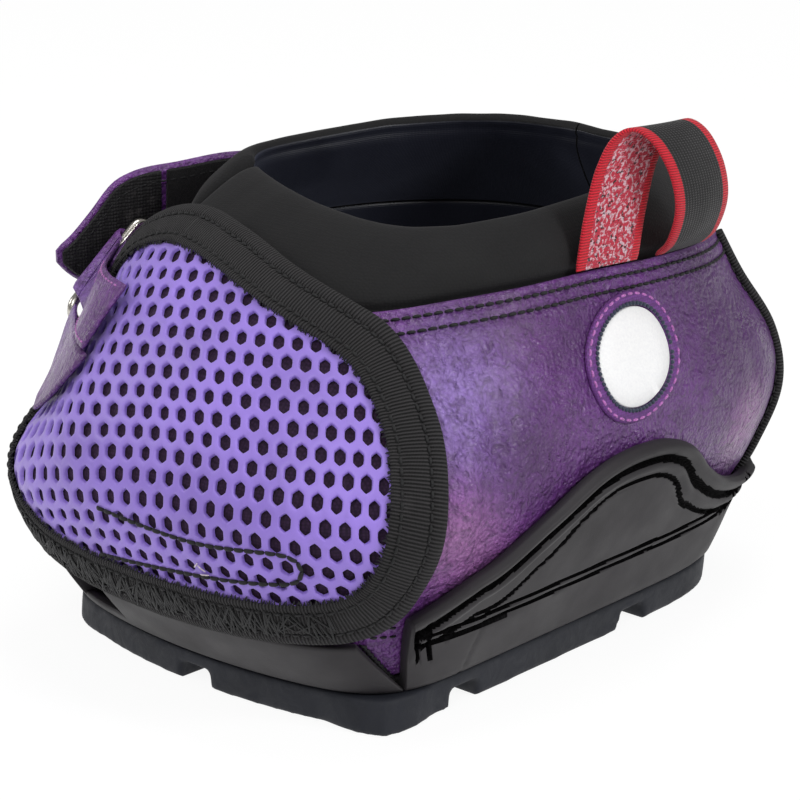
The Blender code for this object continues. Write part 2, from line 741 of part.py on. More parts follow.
def build_collar():
    """The padded collar in two halves, the right one running on over the front."""
    seam = seam_share(COLLAR_TOP)
    halves = (("right_collar", RIGHT_COLLAR_END_SHARE, 1 - seam, True),
              ("left_collar", -1 + seam, LEFT_COLLAR_END_SHARE, False))
    for name, first, last, front_first in halves:
        shares = columns_between(first, last)
        sections = [(share, 1.0) for share in shares]
        rounding = ((0.0, 0.55), (0.006, 0.78), (0.014, 0.93), (0.024, 1.0))
        if front_first:
            ends = [(first + step, size) for step, size in rounding]
            sections = ends + [pair for pair in sections if pair[0] > first + 0.03]
        else:
            ends = [(last - step, size) for step, size in reversed(rounding)]
            sections = [pair for pair in sections if pair[0] < last - 0.03] + ends
        shape = bmesh.new()
        section_solid(shape, [collar_section(share, size) for share, size in sections])
        add_piece(name, shape, "collar", smooth_angle=60)


def build_badge():
    """A round badge on the right quarter: a stitched ring round a bare disc."""
    centre = FORM.point(BADGE_SHARE, BADGE_HEIGHT)
    above = FORM.point(BADGE_SHARE, BADGE_HEIGHT + TRACE_STEP)
    lean = (above - centre).length / TRACE_STEP
    girth = FORM.girth(BADGE_HEIGHT)

    def place(radius, angle, offset):
        share = BADGE_SHARE + radius * math.cos(angle) / girth
        height = BADGE_HEIGHT + radius * math.sin(angle) / lean
        return FORM.point(share, height, offset)

    sides = 32
    foot = SEAT_GAP
    top = foot + BADGE_THICKNESS
    angles = [2 * math.pi * index / sides for index in range(sides)]
    ring_inside = BADGE_DISC_RADIUS + SEAT_GAP
    ring_radii = (ring_inside, (ring_inside + BADGE_RADIUS) / 2, BADGE_RADIUS)
    shape = bmesh.new()
    grid_solid(shape, [[place(radius, angle, top) for angle in angles] for radius in ring_radii],
               [[place(radius, angle, foot) for angle in angles] for radius in ring_radii], True)
    add_piece("badge_ring", shape, "badge_purple")
    shape = bmesh.new()
    faces = []
    for offset in (top, foot):
        rings = [[shape.verts.new(place(radius, angle, offset)) for angle in angles]
                 for radius in (BADGE_DISC_RADIUS, BADGE_DISC_RADIUS / 2)]
        middle = shape.verts.new(place(0.0, 0.0, offset))
        for index in range(sides):
            after = (index + 1) % sides
            shape.faces.new((rings[0][index], rings[0][after], rings[1][after], rings[1][index]))
            shape.faces.new((rings[1][index], rings[1][after], middle))
        faces.append(rings[0])
    for index in range(sides):
        after = (index + 1) % sides
        shape.faces.new((faces[0][index], faces[0][after], faces[1][after], faces[1][index]))
    add_piece("badge_disc", shape, "badge_white")


def shield_edge(count):
    """Points round the shield's outline as (share, height), from a closed smooth curve."""
    rows = SHIELD_EDGE_SHARES
    size = len(rows)
    span = SHIELD_TOP - SHIELD_BOTTOM
    knots = [Vector((share, SHIELD_BOTTOM + up * span)) for share, up in rows]
    dense = []
    parts = 12
    for index in range(size):
        before = knots[index - 1]
        start = knots[index]
        end = knots[(index + 1) % size]
        after = knots[(index + 2) % size]
        for part in range(parts):
            t = part / parts
            dense.append(0.5 * (2 * start + (end - before) * t
                                + (2 * before - 5 * start + 4 * end - after) * t * t
                                + (3 * start - before - 3 * end + after) * t ** 3))
    lengths = [0.0]
    for index in range(len(dense)):
        here = FORM.point(*dense[index])
        there = FORM.point(*dense[(index + 1) % len(dense)])
        lengths.append(lengths[-1] + (there - here).length)
    loop = []
    for index in range(count):
        target = lengths[-1] * index / count
        spot = max(k for k in range(len(dense)) if lengths[k] <= target)
        part = (target - lengths[spot]) / (lengths[spot + 1] - lengths[spot])
        loop.append(dense[spot].lerp(dense[(spot + 1) % len(dense)], part))
    return loop


def moved_in(loop, distance):
    """The outline moved inward along the form by a distance, in small steps."""
    steps = max(1, math.ceil(distance / OUTLINE_STEP))
    nudge_share = 0.002
    for step in range(steps):
        following = []
        size = len(loop)
        for index in range(size):
            share, height = loop[index]
            before = FORM.point(*loop[index - 1])
            after = FORM.point(*loop[(index + 1) % size])
            here = FORM.point(share, height)
            round_way = (FORM.point(share + nudge_share, height) - here) / nudge_share
            up_way = (FORM.point(share, height + TRACE_STEP) - here) / TRACE_STEP
            normal = round_way.cross(up_way).normalized()
            tangent = (after - before).normalized()
            inward = tangent.cross(normal).normalized() * (distance / steps)
            a = round_way.dot(round_way)
            b = round_way.dot(up_way)
            c = up_way.dot(up_way)
            d = round_way.dot(inward)
            e = up_way.dot(inward)
            scale = a * c - b * b
            following.append(Vector((share + (d * c - e * b) / scale, height + (a * e - b * d) / scale)))
        smoothed = []
        for index in range(size):
            neighbours = (following[index - 1] + following[(index + 1) % size]) / 2
            smoothed.append(following[index].lerp(neighbours, 0.15))
        loop = smoothed
    return loop


BACK_STRIP_FOOT = 2.6 * SEAT_GAP
BACK_STRIP_TOP = BACK_STRIP_FOOT + TAPE
BACKING_FOOT = BACK_STRIP_TOP + LAYER_GAP
NET_FOOT = BACKING_FOOT + BACKING + LAYER_GAP
FRONT_STRIP_FOOT = NET_FOOT + NET + NET_GAP
FRONT_STRIP_TOP = FRONT_STRIP_FOOT + TAPE


def binding_loops():
    """Outlines that the tape, the backing and the net share: edge, fold, middle, back, front."""
    edge = shield_edge(52)
    fold = moved_in(edge, TAPE_EDGE)
    middle = moved_in(fold, TAPE_BACK_WIDTH / 2 - TAPE_EDGE)
    back = moved_in(middle, TAPE_BACK_WIDTH / 2)
    front = moved_in(back, TAPE_WIDTH - TAPE_BACK_WIDTH)
    return edge, fold, middle, back, front


def build_binding(pivot):
    """Folded tape round the shield's edge: a channel that holds the net and its backing."""
    edge, inside, middle, back, front = binding_loops()
    crown = FRONT_STRIP_TOP + TAPE * 0.3
    profile = ((front, FRONT_STRIP_TOP), (back, crown), (middle, crown), (edge, FRONT_STRIP_TOP),
               (edge, BACK_STRIP_FOOT), (middle, BACK_STRIP_FOOT), (back, BACK_STRIP_FOOT),
               (back, BACK_STRIP_TOP), (middle, BACK_STRIP_TOP), (inside, BACK_STRIP_TOP),
               (inside, FRONT_STRIP_FOOT), (middle, FRONT_STRIP_FOOT), (back, FRONT_STRIP_FOOT),
               (front, FRONT_STRIP_FOOT))
    sections = []
    for index in range(len(edge)):
        sections.append([FORM.point(*loop[index], offset) for loop, offset in profile])
    shape = bmesh.new()
    section_solid(shape, sections, closed=True)
    return add_piece("shield_binding", shape, "black_tape", pivot)


def build_backing(pivot):
    """The cloth sheet behind the net, filled in from the edge to the middle."""
    tape_edge, fold, middle_loop, back, front = binding_loops()
    edge = moved_in(fold, 2 * SEAT_GAP)
    centre = Vector((sum(p.x for p in edge) / len(edge), sum(p.y for p in edge) / len(edge)))
    loops = [edge, middle_loop, back, front]
    loops += [[centre.lerp(place, share) for place in front] for share in (0.75, 0.48, 0.20)]
    shape = bmesh.new()
    outlines = []
    for offset in (BACKING_FOOT + BACKING, BACKING_FOOT):
        rings = [[shape.verts.new(FORM.point(*place, offset)) for place in loop] for loop in loops]
        middle = shape.verts.new(FORM.point(*centre, offset))
        size = len(edge)
        for outer, inner in zip(rings[:-1], rings[1:]):
            for index in range(size):
                after = (index + 1) % size
                shape.faces.new((outer[index], outer[after], inner[after], inner[index]))
        for index in range(size):
            shape.faces.new((rings[-1][index], rings[-1][(index + 1) % size], middle))
        outlines.append(rings[0])
    for index in range(len(edge)):
        after = (index + 1) % len(edge)
        shape.faces.new((outlines[0][index], outlines[0][after], outlines[1][after], outlines[1][index]))
    return add_piece("shield_backing", shape, "black_cloth", pivot)


def inside_loop(loop, place):
    """Whether a (share, height) place lies inside an outline."""
    hit = False
    for index in range(len(loop)):
        a = loop[index - 1]
        b = loop[index]
        if (a.y > place.y) != (b.y > place.y):
            crossing = a.x + (place.y - a.y) * (b.x - a.x) / (b.y - a.y)
            if crossing > place.x:
                hit = not hit
    return hit


def front_heights():
    """Heights up the toe's middle line at even steps along the slope."""
    heights = [SHIELD_BOTTOM]
    lengths = [0.0]
    while heights[-1] < SHIELD_TOP:
        here = FORM.point(0.0, heights[-1])
        there = FORM.point(0.0, heights[-1] + TRACE_STEP)
        heights.append(heights[-1] + TRACE_STEP)
        lengths.append(lengths[-1] + (there - here).length)
    return lengths, heights


def build_net(pivot):
    """The perforated net: hexagon cells that share their corners, each with its own hole."""
    pitch = NET_PITCH
    keep = moved_in(shield_edge(52), TAPE_EDGE + 2 * NET_GAP + pitch / math.sqrt(3))
    lengths, heights = front_heights()
    row_pitch = pitch * math.sqrt(3) / 2
    corner_reach = pitch / math.sqrt(3)
    hole_reach = NET_HOLE / math.sqrt(3)
    middle_share = 0.035

    def on_form(across, along, offset):
        height = float(np.interp(along, lengths, heights))
        share = middle_share + across / FORM.girth(height)
        return share, height, offset

    cells = []
    rows = int(lengths[-1] / row_pitch) + 2
    half_columns = int(FORM.girth(SHIELD_BOTTOM + (SHIELD_TOP - SHIELD_BOTTOM) / 2) / 3 / pitch) + 1
    for row in range(-1, rows):
        for column in range(-half_columns, half_columns + 1):
            across = (column + 0.5 * (row % 2)) * pitch
            along = row * row_pitch
            share, height, offset = on_form(across, along, 0.0)
            if inside_loop(keep, Vector((share, height))):
                cells.append((across, along))
    shape = bmesh.new()
    corners = {}
    sides = [math.pi / 6 + math.pi / 3 * index for index in range(6)]
    edge_uses = {}

    def corner(across, along, layer):
        key = (round(across / (pitch / 20)), round(along / (pitch / 20)), layer)
        if key not in corners:
            offset = NET_FOOT + NET * layer
            corners[key] = shape.verts.new(FORM.point(*on_form(across, along, offset)))
        return key

    turns = [(math.cos(angle), math.sin(angle)) for angle in sides]
    for across, along in cells:
        outer = []
        inner = []
        for layer in (1, 0):
            outer.append([corner(across + corner_reach * x, along + corner_reach * y, layer)
                          for x, y in turns])
            offset = NET_FOOT + NET * layer
            places = [on_form(across + hole_reach * x, along + hole_reach * y, offset)
                      for x, y in turns]
            inner.append([shape.verts.new(FORM.point(*place)) for place in places])
        back, front = inner[1], inner[0]
        for side in range(6):
            after = (side + 1) % 6
            rim = [corners[key] for key in (outer[0][side], outer[0][after])]
            shape.faces.new((rim[0], rim[1], front[after], front[side]))
            rim = [corners[key] for key in (outer[1][after], outer[1][side])]
            shape.faces.new((rim[0], rim[1], back[side], back[after]))
            shape.faces.new((front[side], front[after], back[after], back[side]))
            pair = tuple(sorted((outer[0][side], outer[0][after])))
            edge_uses.setdefault(pair, []).append((outer[0][side], outer[0][after],
                                                   outer[1][after], outer[1][side]))
    for uses in edge_uses.values():
        if len(uses) == 1:
            shape.faces.new([corners[key] for key in uses[0]])
    return add_piece("shield_net", shape, "net", pivot)


def tab_frame():
    """The sleeve's axis outside the shield's left edge: middle, direction and length."""
    low = FORM.point(TAB_LOW_SHARE, TAB_LOW_HEIGHT, TAB_LOW_STAND)
    high = FORM.point(TAB_TOP_SHARE, TAB_TOP_HEIGHT, TAB_TOP_STAND)
    return (low + high) / 2, (high - low).normalized(), (high - low).length


def strip_loop(path, thickness):
    """Outline of a strip of one thickness whose middle follows an open path in a plane."""
    left = []
    right = []
    last = len(path) - 1
    for index, here in enumerate(path):
        before = (here - path[max(index - 1, 0)])
        after = (path[min(index + 1, last)] - here)
        before = before.normalized() if index > 0 else after.normalized()
        after = after.normalized() if index < last else before
        middle = (before + after).normalized()
        side = Vector((-middle.y, middle.x))
        reach = thickness / 2 / max(middle.dot(after), 0.5)
        left.append(here + side * reach)
        right.append(here - side * reach)
    return left + list(reversed(right))


def build_tab(pivot):
    """A leather strip folded round the ring's bar, its upper ply sewn over the shield's edge."""
    middle, axis, sleeve = tab_frame()
    wall = SLEEVE_WALL
    turn_radius = WIRE / 2 + BORE_GAP + wall / 2
    ply = wall / 2 + SEAT_GAP / 2
    lowest = math.asin(ply / turn_radius)
    stand = FRONT_STRIP_TOP + TAB_SEAT + wall / 2
    sections = []
    steps = 6
    for step in range(steps + 1):
        part = step / steps
        centre = middle + axis * (sleeve * (part - 0.5))
        height = TAB_LOW_HEIGHT + (TAB_TOP_HEIGHT - TAB_LOW_HEIGHT) * part
        seats = [FORM.point(share, height, stand) - centre for share in TAB_SEAT_SHARES]
        slant = seats[0].dot(axis)
        ahead = (seats[0] - axis * slant).normalized()
        outward = ahead.cross(axis).normalized()
        if outward.x > 0:
            outward = -outward
        length = seats[0].dot(ahead)
        tongue = length - 2 * wall
        path = [Vector((tongue, -ply))]
        slides = [slant * tongue / length]
        bends = 8
        for bend in range(bends + 1):
            angle = -lowest - (2 * math.pi - 2 * lowest) * bend / bends
            path.append(Vector((math.cos(angle), math.sin(angle))) * turn_radius)
            slides.append(slant * path[-1].x / length)
        for seat in seats:
            path.append(Vector((seat.dot(ahead), seat.dot(outward) + ply)))
            slides.append(seat.dot(axis))
        slides += list(reversed(slides))
        sections.append([centre + ahead * place.x + outward * place.y + axis * slide
                         for place, slide in zip(strip_loop(path, wall), slides)])
    shape = bmesh.new()
    section_solid(shape, sections)
    return add_piece("ring_tab", shape, "leather", pivot)


# Gusset rows: height between its bottom and top, its two edges round the boot, its stand.
GUSSET_SHARES = (
    (0.0, -0.200, -0.180, 0.0), (0.25, -0.232, -0.150, 0.3), (0.5, -0.252, -0.128, 0.65),
    (0.75, -0.262, -0.112, 0.9), (1.0, -0.262, -0.100, 1.0))


def build_gusset(pivot):
    """The pointed leather gusset under the tab, standing off the shield's edge."""
    outer = []
    inner = []
    columns = 6
    for up, left, right, flare in GUSSET_SHARES:
        height = GUSSET_BOTTOM + up * (GUSSET_TOP - GUSSET_BOTTOM)
        outer_row = []
        inner_row = []
        for column in range(columns + 1):
            part = column / columns
            share = left + (right - left) * part
            stand = FRONT_STRIP_TOP + GUSSET_SEAT + GUSSET_STAND * flare * (1 - part) ** 2
            inner_row.append(FORM.point(share, height, stand))
            outer_row.append(FORM.point(share, height, stand + SLEEVE_WALL))
        outer.append(outer_row)
        inner.append(inner_row)
    shape = bmesh.new()
    grid_solid(shape, outer, inner)
    return add_piece("tab_gusset", shape, "leather", pivot)


def build_ring(pivot):
    """A rectangular wire ring whose front bar turns in the tab's sleeve."""
    middle, axis, sleeve = tab_frame()
    back = Vector((0, 1, 0))
    back = (back - axis * back.dot(axis)).normalized()
    outward = axis.cross(back).normalized()
    radius = RING_CORNER
    long_half = RING_LENGTH / 2 - radius
    far = RING_REACH
    corners = ((far - radius, long_half, 0.0), (far - radius, -long_half, -0.5 * math.pi),
               (radius, -long_half, -math.pi), (radius, long_half, -1.5 * math.pi))
    turns = 3
    path = []
    for across, along, start in corners:
        for turn in range(turns + 1):
            angle = start + 0.5 * math.pi * (1 - turn / turns)
            path.append((across + radius * math.cos(angle), along + radius * math.sin(angle)))
    sides = 8
    sections = []
    size = len(path)
    for index in range(size):
        before = Vector(path[index - 1])
        after = Vector(path[(index + 1) % size])
        way = (after - before).normalized()
        side_way = Vector((way.y, -way.x))
        centre = middle + back * path[index][0] + axis * (path[index][1] + RING_SLIDE)
        lateral = back * side_way.x + axis * side_way.y
        loop = []
        for side in range(sides):
            angle = 2 * math.pi * side / sides
            loop.append(centre + (lateral * math.cos(angle) + outward * math.sin(angle)) * (WIRE / 2))
        sections.append(loop)
    shape = bmesh.new()
    section_solid(shape, sections, closed=True)
    return add_piece("strap_ring", shape, "steel", pivot, smooth_angle=60)


def strap_frame():
    """The strap's hinge, the way it runs to its tip, outward, and up along the leather."""
    stand = STRAP_PANEL + 3 * SEAT_GAP
    middle = STRAP_FOOT + STRAP_HEIGHT * 0.35
    hinge = FORM.point(STRAP_SHARE, middle, stand)
    above = FORM.point(STRAP_SHARE, middle + STRAP_HEIGHT / 4, stand)
    ahead = Vector((-STRAP_FLARE, -STRAP_LENGTH, 0)).normalized()
    outward = Vector((ahead.y, -ahead.x, 0))
    up = above - hinge
    up = (up - ahead * up.dot(ahead)).normalized()
    return hinge, ahead, outward, up


# Strap outline rows: distance from the hinge as a share of the length, then the lower and
# upper edges as shares of the height above the strap's foot.
STRAP_EDGE_SHARES = (
    (0.00, 0.02, 0.66), (0.12, 0.00, 1.02), (0.28, -0.02, 1.08), (0.50, -0.02, 1.04),
    (0.70, 0.00, 0.98), (0.76, 0.02, 0.92), (0.86, 0.06, 0.68), (0.94, 0.16, 0.50),
    (1.00, 0.30, 0.40))


def strap_layer(name, finish, start, end, margin, inside, thickness, pivot):
    """One layer of the strap: it lies on the leather at its root and stands up at its tip."""
    hinge, ahead, outward, up = strap_frame()
    upright = Vector((0, 0, 1))
    places = [row[0] * STRAP_LENGTH for row in STRAP_EDGE_SHARES]
    inner_places = [place for place in places if start + margin < place < end - margin]
    stations = [start + margin] + inner_places + [end - margin]
    outer = []
    inner = []
    for station in stations:
        share = station / STRAP_LENGTH
        low, high = curve_value(STRAP_EDGE_SHARES, share)
        way = up.lerp(upright, min(1.0, share * 1.4)).normalized()
        face = way.cross(ahead).normalized()
        if face.dot(outward) < 0:
            face = -face
        base = hinge + ahead * station + outward * (STRAP_CURL * share ** 3)
        low_edge = (low - 0.35) * STRAP_HEIGHT + margin
        high_edge = (high - 0.35) * STRAP_HEIGHT - margin
        column_outer = []
        column_inner = []
        for part in (0.0, 0.33, 0.67, 1.0):
            place = base + way * (low_edge + (high_edge - low_edge) * part) + face * inside
            column_inner.append(place)
            column_outer.append(place + face * thickness)
        outer.append(column_outer)
        inner.append(column_inner)
    shape = bmesh.new()
    grid_solid(shape, outer, inner)
    return add_piece(name, shape, finish, pivot)


def build_strap(pivot):
    """The closing strap: leather outside, hook and loop panels inside, and its sewn anchor."""
    inside = -STRAP_PANEL - SEAT_GAP
    length = STRAP_LENGTH
    strap_layer("closure_strap", "leather", 0.0, length, 0.0, 0.0, STRAP_LEATHER, pivot)
    strap_layer("strap_loop_panel", "hook", 0.0, PANEL_SPLIT, PANEL_MARGIN, inside, STRAP_PANEL, pivot)
    strap_layer("strap_hook_panel", "hook", PANEL_SPLIT, length, PANEL_MARGIN, inside, STRAP_PANEL, pivot)
    foot = lambda share: STRAP_FOOT - STRAP_HEIGHT * 0.1
    top = lambda share: STRAP_FOOT - STRAP_HEIGHT * 0.1 + ANCHOR_HEIGHT * 0.9
    face = lambda share: SEAT_GAP + STRAP_LEATHER
    start = STRAP_SHARE - 0.018
    sheet("strap_anchor", "leather", ANCHOR_END_SHARE, start, foot, top, face, STRAP_LEATHER)


def seam_place(run):
    """A point on the leather's face along the line where the pull loop is sewn."""
    share = LOOP_FIRST_SHARE + run / FORM.girth(LEATHER_TOP)
    return FORM.point(share, leather_top(share) - LOOP_TUCK, SEAT_GAP + RIBBON / 2)


def loop_frame():
    """The pull loop's seam: its middle, the way it runs, and outward."""
    middle = seam_place(LOOP_START + LOOP_DRIFT / 2)
    along = (seam_place(LOOP_START + LOOP_DRIFT) - seam_place(LOOP_START)).normalized()
    outward = Vector((along.y, -along.x, 0)).normalized()
    return middle, along, outward


# Pull loop's path: share of its length, then outward, upward and along the seam.
LOOP_PATH_SHARES = (
    (0.00, 0.00, 0.00, 0.00), (0.14, 0.03, 0.38, 0.08), (0.28, 0.08, 0.73, 0.20),
    (0.39, 0.22, 0.93, 0.32), (0.48, 0.46, 1.00, 0.43), (0.58, 0.76, 0.92, 0.56),
    (0.69, 1.00, 0.68, 0.70), (0.80, 0.94, 0.40, 0.82), (0.90, 0.52, 0.14, 0.92),
    (1.00, 0.00, 0.00, 1.00))


def build_pull_loop(pivot):
    """A ribbon sewn by both ends along the seam, turning over as it runs back."""
    middle, along, outward = loop_frame()
    steps = 20
    places = []
    for step in range(steps + 1):
        out, up, run = curve_value(LOOP_PATH_SHARES, step / steps)
        places.append((out * LOOP_BULGE, up * LOOP_RISE, LOOP_START + run * LOOP_DRIFT))
    columns = (-0.5, -0.17, 0.17, 0.5)
    faces = ([], [])
    for step in range(steps + 1):
        here = places[step]
        before = places[max(step - 1, 0)]
        after = places[min(step + 1, steps)]
        way = Vector((after[0] - before[0], after[1] - before[1])).normalized()
        for row, side in zip(faces, (0.5, -0.5)):
            shift = Vector((-way.y, way.x)) * (side * RIBBON)
            if step in (0, steps):
                shift = Vector((-side * RIBBON if step == 0 else side * RIBBON, 0))
            row.append([seam_place(here[2] + column * RIBBON_WIDTH)
                        + outward * (here[0] + shift.x) + Vector((0, 0, here[1] + shift.y))
                        for column in columns])
    shape = bmesh.new()
    grid_solid(shape, faces[0], faces[1])
    return add_piece("pull_loop", shape, "ribbon", pivot)


def build():
    """Build the whole boot."""
    clear_scene()
    build_tread()
    build_cup()
    build_insole()
    build_quarters()
    build_linings()
    build_collar()
    build_badge()
    rim = FORM.level_point(0.0, RIM_HEIGHT, CUP_GAP + CUP_WALL + SEAT_GAP)
    shield_pivot = add_pivot("shield_hinge", Vector((0, rim.y, RIM_HEIGHT - 4 * SEAT_GAP)))
    build_binding(shield_pivot)
    build_backing(shield_pivot)
    build_net(shield_pivot)
    build_tab(shield_pivot)
    build_gusset(shield_pivot)
    ring_middle = tab_frame()[0]
    ring_pivot = add_pivot("ring_pivot", ring_middle, shield_pivot)
    build_ring(ring_pivot)
    strap_pivot = add_pivot("strap_hinge", strap_frame()[0])
    build_strap(strap_pivot)
    loop_pivot = add_pivot("loop_hinge", loop_frame()[0])
    build_pull_loop(loop_pivot)
    bpy.context.view_layer.update()


build()
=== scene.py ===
"""Dressed hoof boot: a short leather boot on a moulded rubber sole, opened at the front.

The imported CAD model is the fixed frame. Each piece here follows the same numbers as the
CAD's form, with the rounded edges, stitches, weave, grain and wear of the real boot.
Places on the upper are a share round the boot (0 at the toe, 1 at the heel, positive on the
right side), a height, and an offset outward from the leather's face, all in metres.
"""

import math

import bmesh
import bpy
import numpy as np
from bpy.props import FloatProperty, FloatVectorProperty, PointerProperty
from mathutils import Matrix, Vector


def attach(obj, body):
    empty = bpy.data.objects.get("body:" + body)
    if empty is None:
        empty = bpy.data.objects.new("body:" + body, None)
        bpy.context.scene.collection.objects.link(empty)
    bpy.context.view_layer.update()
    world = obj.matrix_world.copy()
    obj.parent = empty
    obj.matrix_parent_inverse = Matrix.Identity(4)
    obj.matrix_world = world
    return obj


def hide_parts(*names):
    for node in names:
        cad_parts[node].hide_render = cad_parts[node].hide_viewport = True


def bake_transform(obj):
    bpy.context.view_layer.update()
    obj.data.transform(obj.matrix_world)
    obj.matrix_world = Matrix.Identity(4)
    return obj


bl_info = {
    "name": "Hoof Boot",
    "version": (1, 0, 0),
    "blender": (4, 5, 0),
    "location": "3D View > Sidebar > Hoof Boot",
    "description": "Builds a dressed hoof boot round its packed CAD frame",
    "category": "Object",
}

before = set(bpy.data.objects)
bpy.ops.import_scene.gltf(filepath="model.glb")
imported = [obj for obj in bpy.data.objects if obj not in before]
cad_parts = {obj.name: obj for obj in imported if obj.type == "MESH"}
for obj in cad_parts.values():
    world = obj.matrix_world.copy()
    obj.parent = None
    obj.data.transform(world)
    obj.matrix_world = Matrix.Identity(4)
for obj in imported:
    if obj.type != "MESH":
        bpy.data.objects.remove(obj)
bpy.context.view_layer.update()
MM = 0.001

# The upper's form, as in the CAD: height, half width, toe reach, toe arch, toe squareness,
# heel reach, heel arch, heel squareness and taper towards the heel.
FORM_TOP = 122 * MM
FORM_HALF_WIDTH = 70.3 * MM
FORM_TOE = 81.8 * MM
FORM_HEEL = 94.0 * MM
TOE_ARCH = 10.5 * MM
HEEL_ARCH = 5.5 * MM
LEVELS = (
    (0.074, 0.733, 0.750, 0.857, 9.5, 0.766, 1.000, 7.0, -0.075),
    (0.197, 0.828, 0.868, 1.000, 6.0, 0.846, 0.964, 5.0, -0.047),
    (0.328, 0.932, 0.966, 0.905, 5.0, 0.936, 0.818, 4.6, -0.028),
    (0.459, 1.000, 1.000, 0.838, 4.2, 1.000, 0.691, 4.3, -0.019),
    (0.574, 0.982, 0.954, 0.571, 3.2, 1.000, 0.436, 3.8, -0.009),
    (0.689, 0.908, 0.850, 0.362, 2.6, 0.951, 0.182, 3.2, 0.000),
    (0.811, 0.824, 0.685, 0.067, 2.3, 0.883, 0.000, 3.0, 0.009),
    (0.934, 0.725, 0.440, 0.000, 2.1, 0.798, 0.000, 2.8, 0.009),
    (1.000, 0.676, 0.318, 0.000, 2.1, 0.755, 0.000, 2.7, 0.009),
)

# Sole.
TREAD_HEIGHT = 8.7 * MM
LUG_DEPTH = 5.0 * MM
CUP_BOTTOM = 9.0 * MM
FLOOR = 12.0 * MM
CUP_WALL = 3.8 * MM
CUP_GAP = 0.5 * MM
RIM_HEIGHT = 24.0 * MM
WING_HEIGHT = 58.6 * MM
WING_DIP = 4.3 * MM
WING_DIP_END = 0.33
WING_FRONT = 0.2550
NOTCH_SHARE = 0.2480
NOTCH_FOOT = 9.4 * MM
SLOT_RIM = 12.8 * MM
HALF_ROUND = 205 * MM
NOTCH_SPREAD = (0.034, 0.010)
NOTCH_RANGE = (0.2, 0.28)
SLOT_ENDS = (-0.1815, -0.0905)
STEEP = 0.003
WING_END = 0.80
LIP = 1.5 * MM
INSOLE = 5.0 * MM
# The wing's beads: middle below the top edge, width, and how far each stands out.
WING_BEADS = ((1.7 * MM, 3.8 * MM, 1.2 * MM), (6.3 * MM, 2.8 * MM, 0.8 * MM))
CORD_DEPTH = 4.3 * MM
LINE_HEIGHTS = (27.2 * MM, 24.8 * MM)
FRONT_BARS = (0.2650, 0.2775)
REAR_BARS = (0.738, 0.750)
BAR_WIDTH = 0.0064
# Steps round the cup: coarse all round, fine at the notch, the slot, the bars and the wings' ends.
CUP_STEPS = (
    (-1.0, 1.0, 0.0042), (0.206, 0.276, 0.0012), (-0.184, -0.176, 0.0008), (-0.096, -0.086, 0.0008))
WING_STEPS = ((0.2465, 0.284, 0.0010), (0.282, 0.318, 0.0021), (0.726, 0.762, 0.0013))
# The tread's channels, and its corners: share round the boot, reach and how far they stand out.
LUG_WIDTH = 11 * MM
LUG_DRAFT = 2 * MM
LUG_CORNER = (0.228, 0.058, 6.5 * MM)
END_CHANNEL = 40 * MM
TREAD_CELL = 0.8 * MM
SIDE_CHANNEL = 0.22
WING_EDGE = (
    (0.262, 0.580), (0.302, 0.623), (0.343, 0.674), (0.403, 0.828), (0.453, 0.956),
    (0.520, 1.000), (0.560, 0.973), (0.583, 0.930), (0.627, 0.785), (0.667, 0.683),
    (0.723, 0.600), (0.800, 0.568), (1.000, 0.563))

# Upper.
SEAT = 0.3 * MM
LEATHER = 2.0 * MM
LINING = 3.0 * MM
LEATHER_TOP = 98.5 * MM
COLLAR_TOP = 117.5 * MM
COLLAR_DEPTH = 7.8 * MM
FRONT_TUCK = 1.3 * MM
TOP_ROWS = (2.4 * MM, 5.4 * MM)
SHEET_FOOT = FLOOR + SEAT
QUARTER_ENDS = (0.16, 0.78)
SEAM_GAP = SEAT / 200 / MM
COLLAR_GAP = SEAT / 190 / MM
COLLAR_ENDS = (-0.230, -0.250)
PIPING_SHARE = 0.774
LINING_END = 0.12
LINING_OFFSET = -2.4 * MM
PATCH_END = 0.08
PATCH_SHARES = (0.2, 0.8)
# Creases of the quarters: share, lean, lowest and highest place in mm, width and depth in mm.
CREASES = (
    (0.345, -0.16, 44, 84, 0.016, -1.7), (0.315, -0.12, 40, 76, 0.012, 1.1),
    (0.40, 0.10, 62, 92, 0.012, -0.35), (0.60, 0.05, 60, 92, 0.014, -0.4),
    (0.705, -0.06, 50, 88, 0.013, -0.5), (-0.42, 0.08, 50, 84, 0.014, -0.6),
    (-0.66, -0.05, 55, 88, 0.015, -0.5))
COLLAR_SECTION = (
    (-0.308, 0.00), (-0.308, 0.24), (-0.060, 0.33), (0.077, 0.50), (0.040, 0.70),
    (-0.120, 0.87), (-0.330, 0.97), (-0.540, 1.00), (-0.760, 0.96), (-0.930, 0.85),
    (-1.000, 0.62), (-0.960, 0.36), (-0.820, 0.14), (-0.680, 0.00))

# Shield.
SHIELD_BOTTOM = 26.0 * MM
SHIELD_TOP = 110.0 * MM
SHIELD_EDGE = (
    (-0.100, 0.972), (0.000, 0.948), (0.088, 0.899), (0.160, 0.848), (0.208, 0.795),
    (0.240, 0.714), (0.262, 0.610), (0.275, 0.500), (0.281, 0.380), (0.278, 0.270),
    (0.266, 0.170), (0.246, 0.085), (0.215, 0.035), (0.160, 0.015), (0.070, 0.000),
    (-0.040, 0.000), (-0.120, 0.012), (-0.185, 0.060), (-0.235, 0.150), (-0.262, 0.280),
    (-0.272, 0.430), (-0.271, 0.600), (-0.260, 0.760), (-0.236, 0.862), (-0.175, 0.943))
TAPE = 0.8 * MM
BACK_FOOT = 0.78 * MM
BACK_TOP = BACK_FOOT + TAPE
BACKING_FOOT = BACK_TOP + 0.4 * MM
NET_FOOT = BACKING_FOOT + 1.4 * MM
NET_TOP = NET_FOOT + 1.0 * MM
FRONT_FOOT = NET_TOP + 0.7 * MM
FRONT_TOP = FRONT_FOOT + TAPE

